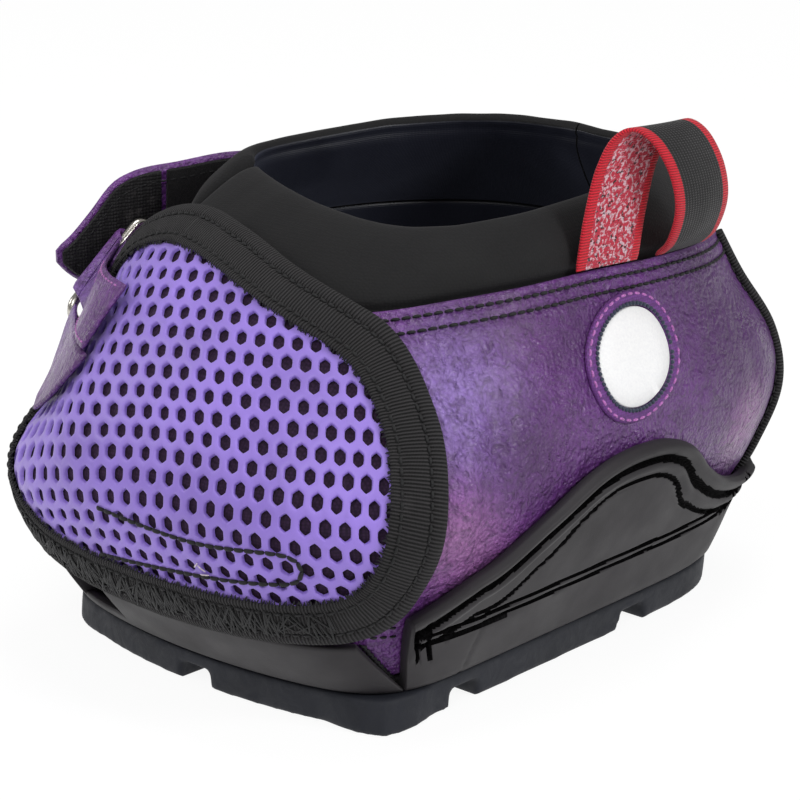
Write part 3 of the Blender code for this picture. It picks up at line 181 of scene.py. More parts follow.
# Section of the binding: distance in from the shield's edge in mm, and offset from the leather.
BINDING_SECTION = (
    (12.0, FRONT_FOOT), (12.15, FRONT_FOOT + 0.35 * MM), (11.9, FRONT_TOP - 0.1 * MM),
    (11.2, FRONT_TOP + 0.05 * MM), (9.9, FRONT_TOP - 0.25 * MM), (8.6, FRONT_TOP + 0.15 * MM),
    (5.2, FRONT_TOP + 0.28 * MM), (4.5, FRONT_TOP + 0.12 * MM), (3.9, FRONT_TOP - 0.35 * MM),
    (3.3, FRONT_TOP + 0.15 * MM), (2.6, FRONT_TOP + 0.26 * MM), (1.6, FRONT_TOP + 0.15 * MM),
    (0.5, FRONT_TOP - 0.25 * MM), (0.08, FRONT_TOP - 0.9 * MM), (0.0, (FRONT_TOP + BACK_FOOT) / 2),
    (0.08, BACK_FOOT + 0.8 * MM), (0.5, BACK_FOOT + 0.2 * MM), (1.6, BACK_FOOT), (4.0, BACK_FOOT),
    (8.0, BACK_FOOT), (8.1, BACK_FOOT + 0.4 * MM), (8.0, BACK_TOP), (4.0, BACK_TOP), (1.3, BACK_TOP),
    (1.05, BACK_TOP + 0.5 * MM), (1.05, FRONT_FOOT - 0.5 * MM), (1.3, FRONT_FOOT), (4.0, FRONT_FOOT),
    (8.0, FRONT_FOOT))
BINDING_SHOWN = 14
TAPE_ROWS = (10.0 * MM, 3.9 * MM)
# Zigzag on the tape along the shield's foot: passes, stitches in each, shares and highest place.
ZIGZAG_PASSES = 4
ZIGZAGS = 70
ZIGZAG_SHARES = (-0.24, 0.20)
ZIGZAG_TOP = 46 * MM
BACKING_PARTS = (0.85, 0.7, 0.55, 0.4, 0.25, 0.12, 0.02)
# The box stitch on the net, as share and height in mm, and the loose bits with their turn.
BOX_STITCH = (
    (-.032, 50), (.075, 49), (.163, 50), (.173, 44.5), (.140, 42.5), (.05, 40.0), (-.045, 37.5))
LOOSE_BITS = ((0.083, 41.5, 0.4), (0.09, 42.6, 2.2), (0.078, 43.0, 1.1))

# How the worn net lies on the form, per metre: it stretches upward, leans to the left above
# one height, crowds to the right, and its rows sag.
NET_STRETCH = (0.90, 1.7)
NET_LEAN = 0.45
NET_LEAN_FROM = 36 * MM
NET_CROWD = 2.0
NET_ROWS = (0.115, 2.4)
NET_CENTRE = 0.035
# Rings of a hole's wall from the outer crown inward: size against the hole, and offset in mm.
HOLE_RINGS = ((1.24, 1.1), (1.09, 1.0), (1.0, 0.72), (0.97, 0.0))

# Ring and its tab.
WIRE = 2.6 * MM
SLEEVE_WALL = 1.2 * MM
BORE_GAP = 0.4 * MM
RING_CORNER = 3.5 * MM
RING_LENGTH = 33 * MM
RING_REACH = 12 * MM
RING_SLIDE = 0.8 * MM
GUSSET_FOOT = 57 * MM
GUSSET_RISE = 19.3 * MM
GUSSET_STAND = 4.5 * MM
TAB_LOW = (-0.285, 76.5 * MM, 12.0 * MM)
TAB_HIGH = (-0.320, 90.0 * MM, 10.0 * MM)
TAB_SEATS = (-0.240, -0.205, -0.175, -0.150, -0.125, -0.105)
GUSSET_ROWS = (
    (0.0, -0.200, -0.180, 0.0), (0.25, -0.232, -0.150, 0.3), (0.5, -0.252, -0.128, 0.65),
    (0.75, -0.262, -0.112, 0.9), (1.0, -0.262, -0.100, 1.0))

# Strap and pull loop.
STRAP_LENGTH = 73.0 * MM
STRAP_HEIGHT = 29.0 * MM
STRAP_FOOT = 78.0 * MM
STRAP_LEATHER = 1.8 * MM
STRAP_PANEL = 1.2 * MM
STRAP_SHARE = -0.56
STRAP_AHEAD = (-12.0, -73.0, 0.0)
STRAP_PIVOT = 0.35
STRAP_SPLIT = 42 * MM
PANEL_MARGIN = 0.8 * MM
STITCH_MARGIN = 3.2 * MM
ANCHOR_HEIGHT = 24 * MM
ANCHOR_SEAM = (-0.6 * MM, 16.5 * MM)
ANCHOR_SHARES = (-0.632, -0.586)
STRAP_EDGES = (
    (0.00, 0.02, 0.66), (0.12, 0.00, 1.02), (0.28, -0.02, 1.08), (0.50, -0.02, 1.04),
    (0.70, 0.00, 0.98), (0.76, 0.02, 0.92), (0.86, 0.06, 0.68), (0.94, 0.16, 0.50),
    (1.00, 0.30, 0.40))
RIBBON_WIDTH = 23.0 * MM
RIBBON = 1.0 * MM
LOOP_SHARE = 0.43
LOOP_START = 12 * MM
LOOP_DRIFT = 31 * MM
LOOP_BULGE = 10.5 * MM
LOOP_RISE = 34 * MM
LOOP_PATH = (
    (0.00, 0.00, 0.00, 0.00), (0.14, 0.03, 0.38, 0.08), (0.28, 0.08, 0.73, 0.20),
    (0.39, 0.22, 0.93, 0.32), (0.48, 0.46, 1.00, 0.43), (0.58, 0.76, 0.92, 0.56),
    (0.69, 1.00, 0.68, 0.70), (0.80, 0.94, 0.40, 0.82), (0.90, 0.52, 0.14, 0.92),
    (1.00, 0.00, 0.00, 1.00))

# Badge.
BADGE_SHARE = 0.512
BADGE_HEIGHT = (LEATHER_TOP + WING_HEIGHT) / 2
BADGE_RADIUS = 16.5 * MM
BADGE_INNER = 12.9 * MM
BADGE_FACE = 12.6 * MM
BADGE_STRETCH = (1.05, 0.97)
BADGE_LINES = (
    ("badge_stitches", 15.7 * MM, (1.9 * MM, 0.7 * MM, 0.7 * MM), "pink_thread"),
    ("badge_inner_stitches", 13.3 * MM, (1.2 * MM, 0.1 * MM, 1.1 * MM), "navy_thread"))

# Sewing threads: length of a stitch, gap between two, and thickness.
SEAM_THREAD = (2.3 * MM, 0.3 * MM, 0.85 * MM)
EDGE_THREAD = (2.3 * MM, 0.6 * MM, 0.6 * MM)
CORNER_THREAD = (1.8 * MM, 0.6 * MM, 0.7 * MM)
TACK_THREAD = (2.4 * MM, 0.0, 0.9 * MM)
STRAP_THREAD = (1.9 * MM, 0.9 * MM, 0.45 * MM)
ANCHOR_THREAD = (1.9 * MM, 0.8 * MM, 0.5 * MM)
TAPE_THREAD = (2.1 * MM, 0.5 * MM, 0.8 * MM)
BOX_THREAD = (2.6 * MM, 0.15 * MM, 1.15 * MM)
TAB_THREAD = (1.8 * MM, 0.9 * MM, 0.5 * MM)
TAB_END_THREAD = (1.6 * MM, 0.7 * MM, 0.5 * MM)
LOOP_THREAD = (1.8 * MM, 0.7 * MM, 0.5 * MM)

# Lamps: place, size and power. Camera: the way round and down it looks in degrees, its distance
# and height in metres, and its lens and shifts in pixels of a square frame.
LAMPS = (
    ("key_softbox", (0.55, -1.05, 1.15), 0.7, 8.0), ("left_softbox", (-1.1, -0.75, 0.8), 0.5, 4.5),
    ("right_softbox", (1.2, 0.35, 0.75), 0.4, 7.5), ("top_softbox", (0.0, 0.2, 1.4), 0.6, 5.5))
LAMP_AIM = (0, 0, 0.055)
CAMERA_TURN = 43.25
CAMERA_PITCH = 17.73
CAMERA_AWAY = 0.7734
CAMERA_HEIGHT = 0.3027
CAMERA_LENS = 3176.6
CAMERA_SHIFT = (0.25, 2.3)
FRAME_SIZE = 800
SENSOR = 36

# Painted light and shade on the leather, as lighter zones of painted highlight and deeper zones of painted
# shade: share, height and reach in mm, amount, colour.
LAVENDER_HIGHLIGHT = (0.34, 0.22, 0.62)
ROSE_HIGHLIGHT = (0.40, 0.16, 0.40)
PLUM_SHADE = (0.055, 0.010, 0.088)
LEATHER_LIGHT_AND_SHADE_ZONES = (
    (0.288, 78, 30, 0.85, LAVENDER_HIGHLIGHT), (0.300, 50, 20, 0.75, ROSE_HIGHLIGHT), (0.335, 40, 22, 0.55, ROSE_HIGHLIGHT),
    (0.372, 66, 26, 0.80, PLUM_SHADE), (0.430, 90, 30, 0.60, PLUM_SHADE), (0.660, 76, 40, 0.75, PLUM_SHADE),
    (0.700, 50, 18, 0.55, ROSE_HIGHLIGHT), (-0.300, 74, 30, 0.75, LAVENDER_HIGHLIGHT), (-0.380, 62, 30, 0.70, PLUM_SHADE))


# Every finish: its colour in the sidebar and how much of it, settings of the shader, patterns
# (kind, cells a metre or rib spacing in mm, and the rest of that pattern's settings), colour
# layers (pattern, amounts, pattern's range, colour or share of the own colour), bump layers
# (pattern, mm, strength) and the pattern that sets the roughness. A leading minus turns a
# pattern over and a star multiplies two.
THREAD = ({"twist": ("noise", 2400, 2, 0.6)}, (("twist", 0, 1, 0.35, 0.65, 0.6, 1.2),),
          (("twist", 0.08, 0.8),), ("twist", 0.5, 0.75))
LOOKS = {
    # Soft pebbled grain leather: deep in its dents, darkened by painted shade in its wrinkles, lighter with
    # painted highlights and glossy where it swells.
    "leather": (
        "leather", 1, {"sheen": 0.03, "sheen_tint": (0.85, 0.7, 1.0), "coat": 0.12},
        {"patches": ("noise", 26, 3), "grain": ("grain", 900, 70, 2.5 * MM),
         "wrinkles": ("noise", 330, 4, 0.62, 0.9), "folds": ("noise", 120, 3, 0.6, 0.8),
         "pores": ("noise", 2400, 2), "shine": ("noise", 90, 4)},
        # The wrinkles' darker colour is painted shade in the creases.
        (("patches", 0, 1, 0.35, 0.65, 0.62, 1.25), ("wrinkles", 0.55, 0, 0.36, 0.52, 0.30),
         ("grain", 0, 0.35, 0.3, 0.75, 0.35)),
        (("patches", 5.0, 0.7), ("folds", 2.2, 0.8), ("wrinkles", 1.1, 1.0), ("-grain", 0.40, 1.0),
         ("pores", 0.03, 0.6)), ("shine", 0.24, 0.42, 0.3, 0.7)),
    # Moulded rubber: fine mould texture, dull scuffs and dust.
    "rubber": (
        "rubber", 1, {"specular": 0.4, "sheen": 0.02},
        {"patches": ("noise", 34, 4), "scuffs": ("noise", 160, 5, 0.7, 1.2), "mould": ("noise", 2600, 2),
         "shine": ("noise", 60, 4)},
        (("patches", 0, 1, 0.35, 0.7, 0.85, 1.15), ("scuffs", 0, 0.35, 0.62, 0.80, 2.6)),
        (("mould", 0.035, 0.7), ("scuffs", 0.10, 0.35)), ("shine", 0.50, 0.68, 0.3, 0.7)),
    # Harder bluish rubber of the tread, scraped along its edges.
    "tread_rubber": (
        "tread", 1, {"specular": 0.35},
        {"patches": ("noise", 45, 4), "scrapes": ("noise", 130, 6, 0.75, 2.0), "mould": ("noise", 1700, 3)},
        (("patches", 0, 1, 0.3, 0.7, 0.8, 1.2), ("scrapes", 0, 0.4, 0.58, 0.75, 2.2)),
        (("mould", 0.05, 0.8), ("scrapes", 0.16, 0.4)), ("scrapes", 0.55, 0.75, 0.35, 0.7)),
    # Rubber painted dark as shade at the foot of the moulded grooves, cut to look stitched.
    "bead_texture": (
        "rubber", 0.12, {"specular": 0.05}, {"ribs": ("cells", 900, 0.4)},
        (("ribs", 0, 1, 0.2, 0.6, 1.5, 0.5),), (("-ribs", 0.3, 1.0),), ("ribs", 0.75, 0.95)),
    # Lavender perforated synthetic: soft satin with fine fuzz and dusty patches.
    "net": (
        "net", 1, {"specular": 0.45, "sheen": 0.35, "sheen_tint": (0.9, 0.82, 1.0), "coat": 0.08},
        {"patches": ("noise", 40, 3), "dust": ("noise", 300, 4), "fuzz": ("noise", 1500, 3),
         "swell": ("noise", 240, 2)},
        (("patches", 0, 1, 0.3, 0.7, 0.85, 1.12), ("dust", 0, 0.3, 0.55, 0.75, 0.7)),
        (("fuzz", 0.06, 0.8), ("swell", 0.12, 0.5)), ("patches", 0.38, 0.58, 0.3, 0.7)),
    # Black ribbed tape: its ribs painted lighter and darker as highlight and shade, with greyish wear.
    "grosgrain": (
        "tape", 1, {"specular": 0.25, "sheen": 0.04},
        {"ribs": ("ribs", 0.85, "X"), "threads": ("ribs", 0.34, "Y"), "wear": ("noise", 70, 5, 0.7)},
        (("ribs", 0.9, 0, 0.2, 0.8, 4.2, 0.2), ("wear", 0, 0.16, 0.58, 0.8, (0.16, 0.15, 0.16))),
        (("ribs", 0.42, 1.0), ("threads", 0.06, 0.8)), ("wear", 0.7, 0.9, 0.3, 0.7)),
    # Matte foam-backed knit of the collar.
    "neoprene": (
        "collar", 1, {"specular": 0.25, "sheen": 0.07, "sheen_tint": (0.8, 0.78, 0.8)},
        {"knit": ("cells", 1500, 0.5), "patches": ("noise", 36, 4)},
        (("patches", 0, 1, 0.3, 0.7, 0.75, 1.25), ("knit", 0, 0.6, 0.2, 0.7, 0.45)),
        (("-knit", 0.10, 0.8), ("patches", 0.5, 0.4)), ("patches", 0.62, 0.8, 0.3, 0.7)),
    # Dark navy lining cloth with a slight shine and a fine weave.
    "satin_lining": (
        "lining", 1, {"sheen": 0.2, "sheen_tint": (0.6, 0.65, 0.9), "coat": 0.1},
        {"patches": ("noise", 42, 3), "warp": ("ribs", 0.5, "X"), "weft": ("ribs", 0.5, "Y")},
        (("patches", 0, 1, 0.3, 0.7, 0.75, 1.35), ("warp*weft", 0.5, 0, 0, 0.5, 0.5)),
        (("warp*weft", 0.05, 0.8), ("patches", 0.6, 0.5)), ("patches", 0.34, 0.5, 0.3, 0.7)),
    # Dark plum cloth behind the net's holes.
    "backing_cloth": (
        "backing", 1, {"specular": 0.25, "sheen": 0.25, "sheen_tint": (0.8, 0.6, 0.9)},
        {"weave": ("cells", 1300, 0.35), "shine": ("noise", 60, 3)},
        (("weave", 0, 0.8, 0.2, 0.7, 1.3, 0.4),), (("-weave", 0.12, 0.9),), ("shine", 0.68, 0.85, 0.3, 0.7)),
    # Black hook tape: rows of tiny hooks that catch dust.
    "hook_tape": (
        "tape", 1, {"specular": 0.35},
        {"hooks": ("cells", 1150, 0.25, False), "dust": ("noise", 120, 5, 0.7)},
        (("hooks", 0.8, 0, 0.1, 0.5, 0.4, 2.3), ("dust", 0, 0.25, 0.6, 0.8, (0.22, 0.2, 0.2))),
        (("-hooks", 0.4, 1.0),), ("dust", 0.6, 0.85, 0.3, 0.7)),
    # Black loop tape: a soft brushed pile.
    "loop_tape": (
        "tape", 1, {"specular": 0.2, "sheen": 0.15, "sheen_tint": (0.7, 0.7, 0.72)},
        {"pile": ("noise", 1400, 4, 0.7, 1.5)},
        (("pile", 0, 1, 0.3, 0.7, 0.5, 1.9),), (("pile", 0.4, 1.0),), ("pile", 0.75, 0.95)),
    # Bright plated wire with a warm tint, dull where it was handled.
    "steel": (
        None, 1, {"metallic": 1.0}, {"dull": ("noise", 220, 5, 0.7), "dents": ("noise", 160, 2)},
        (("dull", 0, 0.6, 0.45, 0.75, (0.62, 0.59, 0.54), (0.30, 0.26, 0.20)),),
        (("dents", 0.02, 0.4),), ("dull", 0.14, 0.42, 0.35, 0.75)),
    # Twisted sewing thread: black, pink on badge and tab, frayed pale bits, navy round the disc.
    "black_thread": ((0.005, 0.005, 0.006), 1, {"specular": 0.4, "sheen": 0.05}, *THREAD),
    "pink_thread": ("thread", 1, {"specular": 0.4, "sheen": 0.3}, *THREAD),
    "pale_thread": ((0.72, 0.62, 0.66), 1, {"specular": 0.4, "sheen": 0.3}, *THREAD),
    "navy_thread": ("badge", 1, {"specular": 0.4, "sheen": 0.3}, *THREAD),
    # The ribbon: closely ribbed black face, red edge, and a reverse flecked with loose threads.
    "ribbon_face": (
        "tape", 1, {"specular": 0.3, "sheen": 0.15},
        {"ribs": ("ribs", 0.7, "X"), "rows": ("ribs", 1.1, "Y"), "shine": ("noise", 90, 3)},
        (("ribs", 0.8, 0, 0.1, 0.7, 1.6, 0.4),), (("ribs*rows", 0.2, 0.9),), ("shine", 0.6, 0.8, 0.3, 0.7)),
    "ribbon_edge": (
        "ribbon", 1, {"specular": 0.3, "sheen": 0.2, "sheen_tint": (1.0, 0.7, 0.7)},
        {"ribs": ("ribs", 0.7, "X"), "shine": ("noise", 90, 3)},
        (("ribs", 0.75, 0, 0.1, 0.7, 1.15, 0.35),), (("ribs", 0.22, 0.9),), ("shine", 0.55, 0.75, 0.3, 0.7)),
    "ribbon_back": (
        "tape", 1, {"specular": 0.3, "sheen": 0.2},
        {"ribs": ("ribs", 0.7, "X"), "flecks": ("noise", 650, 2, 0.6, 0.0, True),
         "whites": ("noise", 900, 2, 0.6, 0.6, True)},
        (("flecks", 0, 1, 0.56, 0.64, (0.50, 0.02, 0.05), 1.3),
         ("whites", 0, 0.9, 0.50, 0.60, (0.70, 0.50, 0.56))),
        (("ribs", 0.2, 0.8), ("flecks", 0.15, 0.6)), ("flecks", 0.55, 0.8)),
    # The badge: a purple woven ring and a white satin-stitched disc, left bare.
    "badge_ring": (
        "leather", 0.8, {"specular": 0.35, "sheen": 0.1},
        {"weave": ("cells", 1500, 0.3), "shine": ("noise", 80, 3)},
        (("weave", 0, 0.8, 0.2, 0.7, 1.4, 0.5),), (("-weave", 0.08, 0.8),), ("shine", 0.4, 0.6, 0.3, 0.7)),
    "badge_disc": (
        None, 1, {"specular": 0.35, "sheen": 0.15}, {"rows": ("noise", 1500, 3, 0.6, 0.4)},
        (("rows", 0, 0.6, 0.35, 0.7, (0.93, 0.93, 0.93), (0.82, 0.82, 0.84)),),
        (("rows", 0.07, 0.8),), ("rows", 0.45, 0.65)),
    # Dense dark foam of the footbed, with a fine open texture.
    "foam": (
        None, 1, {"specular": 0.25, "sheen": 0.2}, {"pores": ("cells", 1100), "shine": ("noise", 70, 3)},
        (("pores", 0, 1, 0.1, 0.6, (0.03, 0.03, 0.033), (0.09, 0.09, 0.095)),),
        (("pores", 0.18, 0.8),), ("shine", 0.75, 0.9, 0.3, 0.7)),
}


# Curves and the form

def ease(value):
    """A smooth step from 0 to 1."""
    value = np.clip(value, 0.0, 1.0)
    return value * value * (3 - 2 * value)


def unit(vectors):
    """Vectors brought to length 1."""
    return vectors / np.maximum(np.linalg.norm(vectors, axis=-1, keepdims=True), 1e-12)


def curve(table, place):
    """Read a smooth curve through (place, value, value ...) rows at an array of places."""
    rows = np.array(table, float)
    places, values = rows[:, 0], rows[:, 1:]
    place = np.asarray(place, float)
    index = np.clip(np.searchsorted(places, place, side="left") - 1, 0, len(places) - 2)
    spans = np.diff(places)
    slopes = np.diff(values, axis=0) / spans[:, None]
    knots = np.concatenate([slopes[:1], slopes[1:] * 0, slopes[-1:]])
    near = (slopes[1:] * spans[:-1, None] + slopes[:-1] * spans[1:, None])
    knots[1:-1] = near / (spans[:-1] + spans[1:])[:, None]
    span = spans[index][..., None]
    t = np.clip((place - places[index])[..., None] / span, 0.0, 1.0)
    start, end = values[index], values[index + 1]
    return (start + (end - start) * t * t * (3 - 2 * t)
            + t * (1 - t) ** 2 * span * knots[index] - t * t * (1 - t) * span * knots[index + 1])


def through(points, parts, closed=False):
    """More points on a smooth curve through an array of points."""
    points = np.asarray(points, float)
    if not closed:
        points = np.concatenate([[2 * points[0] - points[1]], points, [2 * points[-1] - points[-2]]])
        windows = [points[i:len(points) - 3 + i] for i in range(4)]
    else:
        windows = [np.roll(points, 1 - i, axis=0) for i in range(4)]
    before, start, end, after = (window[:, None] for window in windows)
    t = np.arange(parts)[None, :, None] / parts
    found = 0.5 * (2 * start + (end - before) * t
                   + (2 * before - 5 * start + 4 * end - after) * t * t
                   + (3 * start - before - 3 * end + after) * t ** 3)
    found = found.reshape(-1, points.shape[1])
    return found if closed else np.concatenate([found, points[-2:-1]])


def evenly(points, step, closed=False):
    """Points at even steps along a polyline."""
    points = np.asarray(points, float)
    if closed:
        points = np.concatenate([points, points[:1]])
    lengths = np.concatenate([[0], np.cumsum(np.linalg.norm(np.diff(points[:, :3], axis=0), axis=1))])
    count = max(2, int(round(lengths[-1] / step)))
    spots = np.linspace(0, lengths[-1], count + 1)[:count if closed else count + 1]
    return np.stack([np.interp(spots, lengths, column) for column in points.T], axis=1)


class BootForm:
    """The leather's outer face, from the sole's cup to the collar, as a grid of points."""

    rows = 181
    columns = 801

    def __init__(self):
        self.low = LEVELS[0][0] * FORM_TOP
        self.heights = np.linspace(self.low, FORM_TOP, self.rows)
        self.shares = np.linspace(-1.0, 1.0, self.columns)
        self.points = np.zeros((self.rows, self.columns, 3))
        self.girths = np.zeros(self.rows)
        for row, height in enumerate(self.heights):
            across, along, lengths = self.half_outline(height)
            reach = np.abs(self.shares) * lengths[-1]
            self.girths[row] = lengths[-1]
            self.points[row, :, 0] = np.sign(self.shares) * np.interp(reach, lengths, across)
            self.points[row, :, 1] = np.interp(reach, lengths, along)
            self.points[row, :, 2] = height
        self.press_in_the_loose_corner()
        around = np.gradient(self.points, axis=1)
        around[:, 0] = self.points[:, 1] - self.points[:, -2]
        around[:, -1] = around[:, 0]
        self.normals = unit(np.cross(around, np.gradient(self.points, axis=0)))
        self.flat = self.normals * (1, 1, 0)
        self.flat = unit(self.flat)

    def press_in_the_loose_corner(self):
        """Flatten the left front corner, where the undone shield hangs loose."""
        out = np.gradient(self.points, axis=1)
        out = unit(np.stack([out[:, :, 1], -out[:, :, 0], out[:, :, 0] * 0], axis=2))
        aside = (self.shares + 0.225) / 0.17
        above = self.heights - 64 * MM
        above = np.where(above < 0, above / (20 * MM), above / (32 * MM))
        depth = 9.5 * MM * np.clip(1 - above ** 2, 0, 1)[:, None] ** 2
        depth = depth * np.clip(1 - aside ** 2, 0, 1)[None, :] ** 2
        self.points -= out * depth[:, :, None]

    def half_outline(self, height):
        """Plan outline at one height from the toe round the right side to the heel."""
        values = curve(LEVELS, height / FORM_TOP)
        wide, toe, toe_arch, toe_square, heel, heel_arch, heel_square, taper = values
        wide *= FORM_HALF_WIDTH
        angle = np.linspace(0, math.pi, 721)
        sine = np.sin(angle)
        cosine = -np.cos(angle)
        reach = np.where(cosine < 0, toe * FORM_TOE, heel * FORM_HEEL)
        square = np.where(cosine < 0, toe_square, heel_square)
        arch = np.where(cosine < 0, -toe_arch * TOE_ARCH, heel_arch * HEEL_ARCH)
        radius = (np.abs(sine / wide) ** square + np.abs(cosine / reach) ** square) ** (-1 / square)
        across = radius * sine
        along = radius * cosine
        along = along + arch * (along / reach) ** 2 * (1 - (across / wide) ** 2)
        across = across * (1 + taper * along / FORM_HEEL)
        steps = np.hypot(np.diff(across), np.diff(along))
        return across, along, np.concatenate([[0], np.cumsum(steps)])

    def read(self, grid, share, height):
        """Read one of the grids between its points, at arrays of places."""
        share = wrapped(share)
        place = (share + 1) / 2 * (self.columns - 1)
        level = (height - self.low) / (FORM_TOP - self.low) * (self.rows - 1)
        column = np.clip(place.astype(int), 0, self.columns - 2)
        row = np.clip(level.astype(int), 0, self.rows - 2)
        right = (place - column)[..., None]
        up = (level - row)[..., None]
        lower = grid[row, column] * (1 - right) + grid[row, column + 1] * right
        upper = grid[row + 1, column] * (1 - right) + grid[row + 1, column + 1] * right
        return lower * (1 - up) + upper * up

    def places(self, share, height, offset=0.0, level=False, rise=None):
        """Points off the leather's face, moved out along its normal or level."""
        share, height, offset = np.broadcast_arrays(
            np.asarray(share, float), np.asarray(height, float), np.asarray(offset, float))
        normal = unit(self.read(self.flat if level else self.normals, share, height))
        found = self.read(self.points, share, height) + offset[..., None] * normal
        if rise is not None:
            found[..., 2] = rise
        return found

    def normal(self, share, height):
        """The way straight out of the leather's face."""
        return unit(self.read(self.normals, share, np.asarray(height, float)))

    def girth(self, height):
        """Half the way round the form at one height."""
        return np.interp(height, self.heights, self.girths)


def wrapped(share):
    """Shares brought back to the range from -1 to 1."""
    share = np.asarray(share, float)
    return np.where(np.abs(share) > 1, (share + 1) % 2 - 1, share)


FORM = BootForm()


def leather_top(share):
    """Height of the quarters' top edge."""
    table = ((0.0, 0.975), (0.16, 0.985), (0.28, 1.012), (0.42, 1.018), (0.58, 1.0),
             (0.74, 0.978), (1.0, 0.965))
    return LEATHER_TOP * curve(table, np.abs(wrapped(share)))[..., 0]


def collar_foot(share):
    """Height of the collar's lower edge, tucked behind the leather."""
    return leather_top(share) - 5 * MM


def collar_rim(share):
    """Height of the collar's top, lowest at the front of the right side."""
    table = ((-1.0, 1.008), (-0.4, 1.004), (-0.15, 1.012), (0.0, 0.996), (0.16, 0.981),
             (0.32, 0.987), (0.5, 0.992), (1.0, 1.008))
    return COLLAR_TOP * curve(table, wrapped(share))[..., 0]


def lining_depth(share):
    """Offset of the left lining's face, which dives under the right one at the front."""
    return LINING_OFFSET - 6.2 * MM * ease((wrapped(share) + 0.25) / 0.115)


def rumple(places, scale, amount, seed=0.0):
    """A smooth irregular wave for an array of points, made of a few turned sine waves."""
    total = 0.0
    for index in range(6):
        turn = seed + 2.4 * index
        way = np.array([math.cos(turn), math.sin(turn) * math.cos(1.7 * turn), math.sin(2.3 * turn)])
        size = scale * (0.6 + 0.22 * index)
        total = total + np.sin(places @ way * (2 * math.pi / size) + 1.9 * turn) * (0.7 + 0.1 * index)
    return total * amount / 3.0


# Meshes and pieces

def tube_mesh(rings, closed=False, marks=None, caps=True):
    """A closed mesh through rows of equal section loops, with a UV map in metres."""
    count, size = rings.shape[:2]
    spans = count if closed else count - 1
    row = np.arange(spans)[:, None]
    side = np.arange(size)[None, :]
    ahead = (row + 1) % count
    after = (side + 1) % size
    quads = np.stack([row * size + side, row * size + after,
                      ahead * size + after, ahead * size + side], axis=-1).reshape(-1, 4)
    loop = np.concatenate([rings, rings[:1]]) if closed else rings
    along = np.concatenate([[0], np.cumsum(np.linalg.norm(np.diff(loop, axis=0), axis=2).mean(axis=1))])
    turn = np.concatenate([rings, rings[:, :1]], axis=1)
    around = np.concatenate([[0], np.cumsum(np.linalg.norm(np.diff(turn, axis=1), axis=2).mean(axis=0))])
    near_u, far_u = along[row] + 0 * side, along[row + 1] + 0 * side
    near_v, far_v = around[side] + 0.0 * row, around[side + 1] + 0.0 * row
    maps = np.stack([near_u, near_v, near_u, far_v, far_u, far_v, far_u, near_v], axis=-1)
    maps = maps.reshape(-1, 4, 2)
    verts = rings.reshape(-1, 3)
    corners = verts[quads]
    volume = np.einsum("ij,ij->", corners[:, 0], np.cross(corners[:, 1], corners[:, 2]))
    volume += np.einsum("ij,ij->", corners[:, 0], np.cross(corners[:, 2], corners[:, 3]))
    ends = []
    if caps and not closed:
        ends = [list(range(size))[::-1], [(count - 1) * size + i for i in range(size)]]
        for end in ends:
            fan = verts[end]
            volume += np.einsum("ij,ij->", np.broadcast_to(fan[0], fan[1:-1].shape),
                                np.cross(fan[1:-1], fan[2:]))
    if volume < 0:
        quads = quads[:, ::-1]
        maps = maps[:, ::-1]
        ends = [end[::-1] for end in ends]
    mesh = bpy.data.meshes.new("skin")
    mesh.from_pydata(verts.tolist(), [], quads.tolist() + ends)
    layer = mesh.uv_layers.new(name="UVMap")
    flat = np.zeros((len(mesh.loops), 2))
    flat[:quads.size] = maps.reshape(-1, 2)
    layer.data.foreach_set("uv", flat.ravel())
    if marks is not None:
        tags = np.zeros(len(mesh.polygons), int)
        tags[:len(quads)] = np.tile(np.asarray(marks, int), spans)
        mesh.polygons.foreach_set("material_index", tags)
    return mesh


def piece(name, mesh, finishes, body, replaces=(), angle=50):
    """A mesh as a named piece: finishes, smooth shading, the body it rides on, what it replaces."""
    mesh.name = f"{name}_skin"
    mesh.shade_smooth()
    mesh.set_sharp_from_angle(angle=math.radians(angle))
    for finish in ([finishes] if isinstance(finishes, str) else finishes):
        mesh.materials.append(finish_of(finish))
    made = bpy.data.objects.new(name, mesh)
    bpy.context.scene.collection.objects.link(made)
    if body:
        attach(made, body)
    if replaces:
        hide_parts(*replaces)
    return made


def dress(node, mesh, finishes, body, angle=50):
    """A piece that takes the place of one of the CAD's nodes."""
    return piece(f"dressed_{node}", mesh, finishes, body, [node], angle)


def closed_mesh(points, faces):
    """A mesh from points and faces, with its faces turned outward."""
    mesh = bpy.data.meshes.new("skin")
    mesh.from_pydata(points.tolist(), [], faces)
    shape = bmesh.new()
    shape.from_mesh(mesh)
    bmesh.ops.recalc_face_normals(shape, faces=shape.faces)
    shape.to_mesh(mesh)
    shape.free()
    return mesh


def always(value):
    """A height or offset that is the same all the way round."""
    return lambda share: value + 0 * share


def apply_modifiers(made):
    """Replace a piece's mesh with what its modifiers make of it."""
    bpy.context.view_layer.update()
    shown = made.evaluated_get(bpy.context.evaluated_depsgraph_get())
    mesh = bpy.data.meshes.new_from_object(shown)
    made.modifiers.clear()
    made.data = mesh
    return made


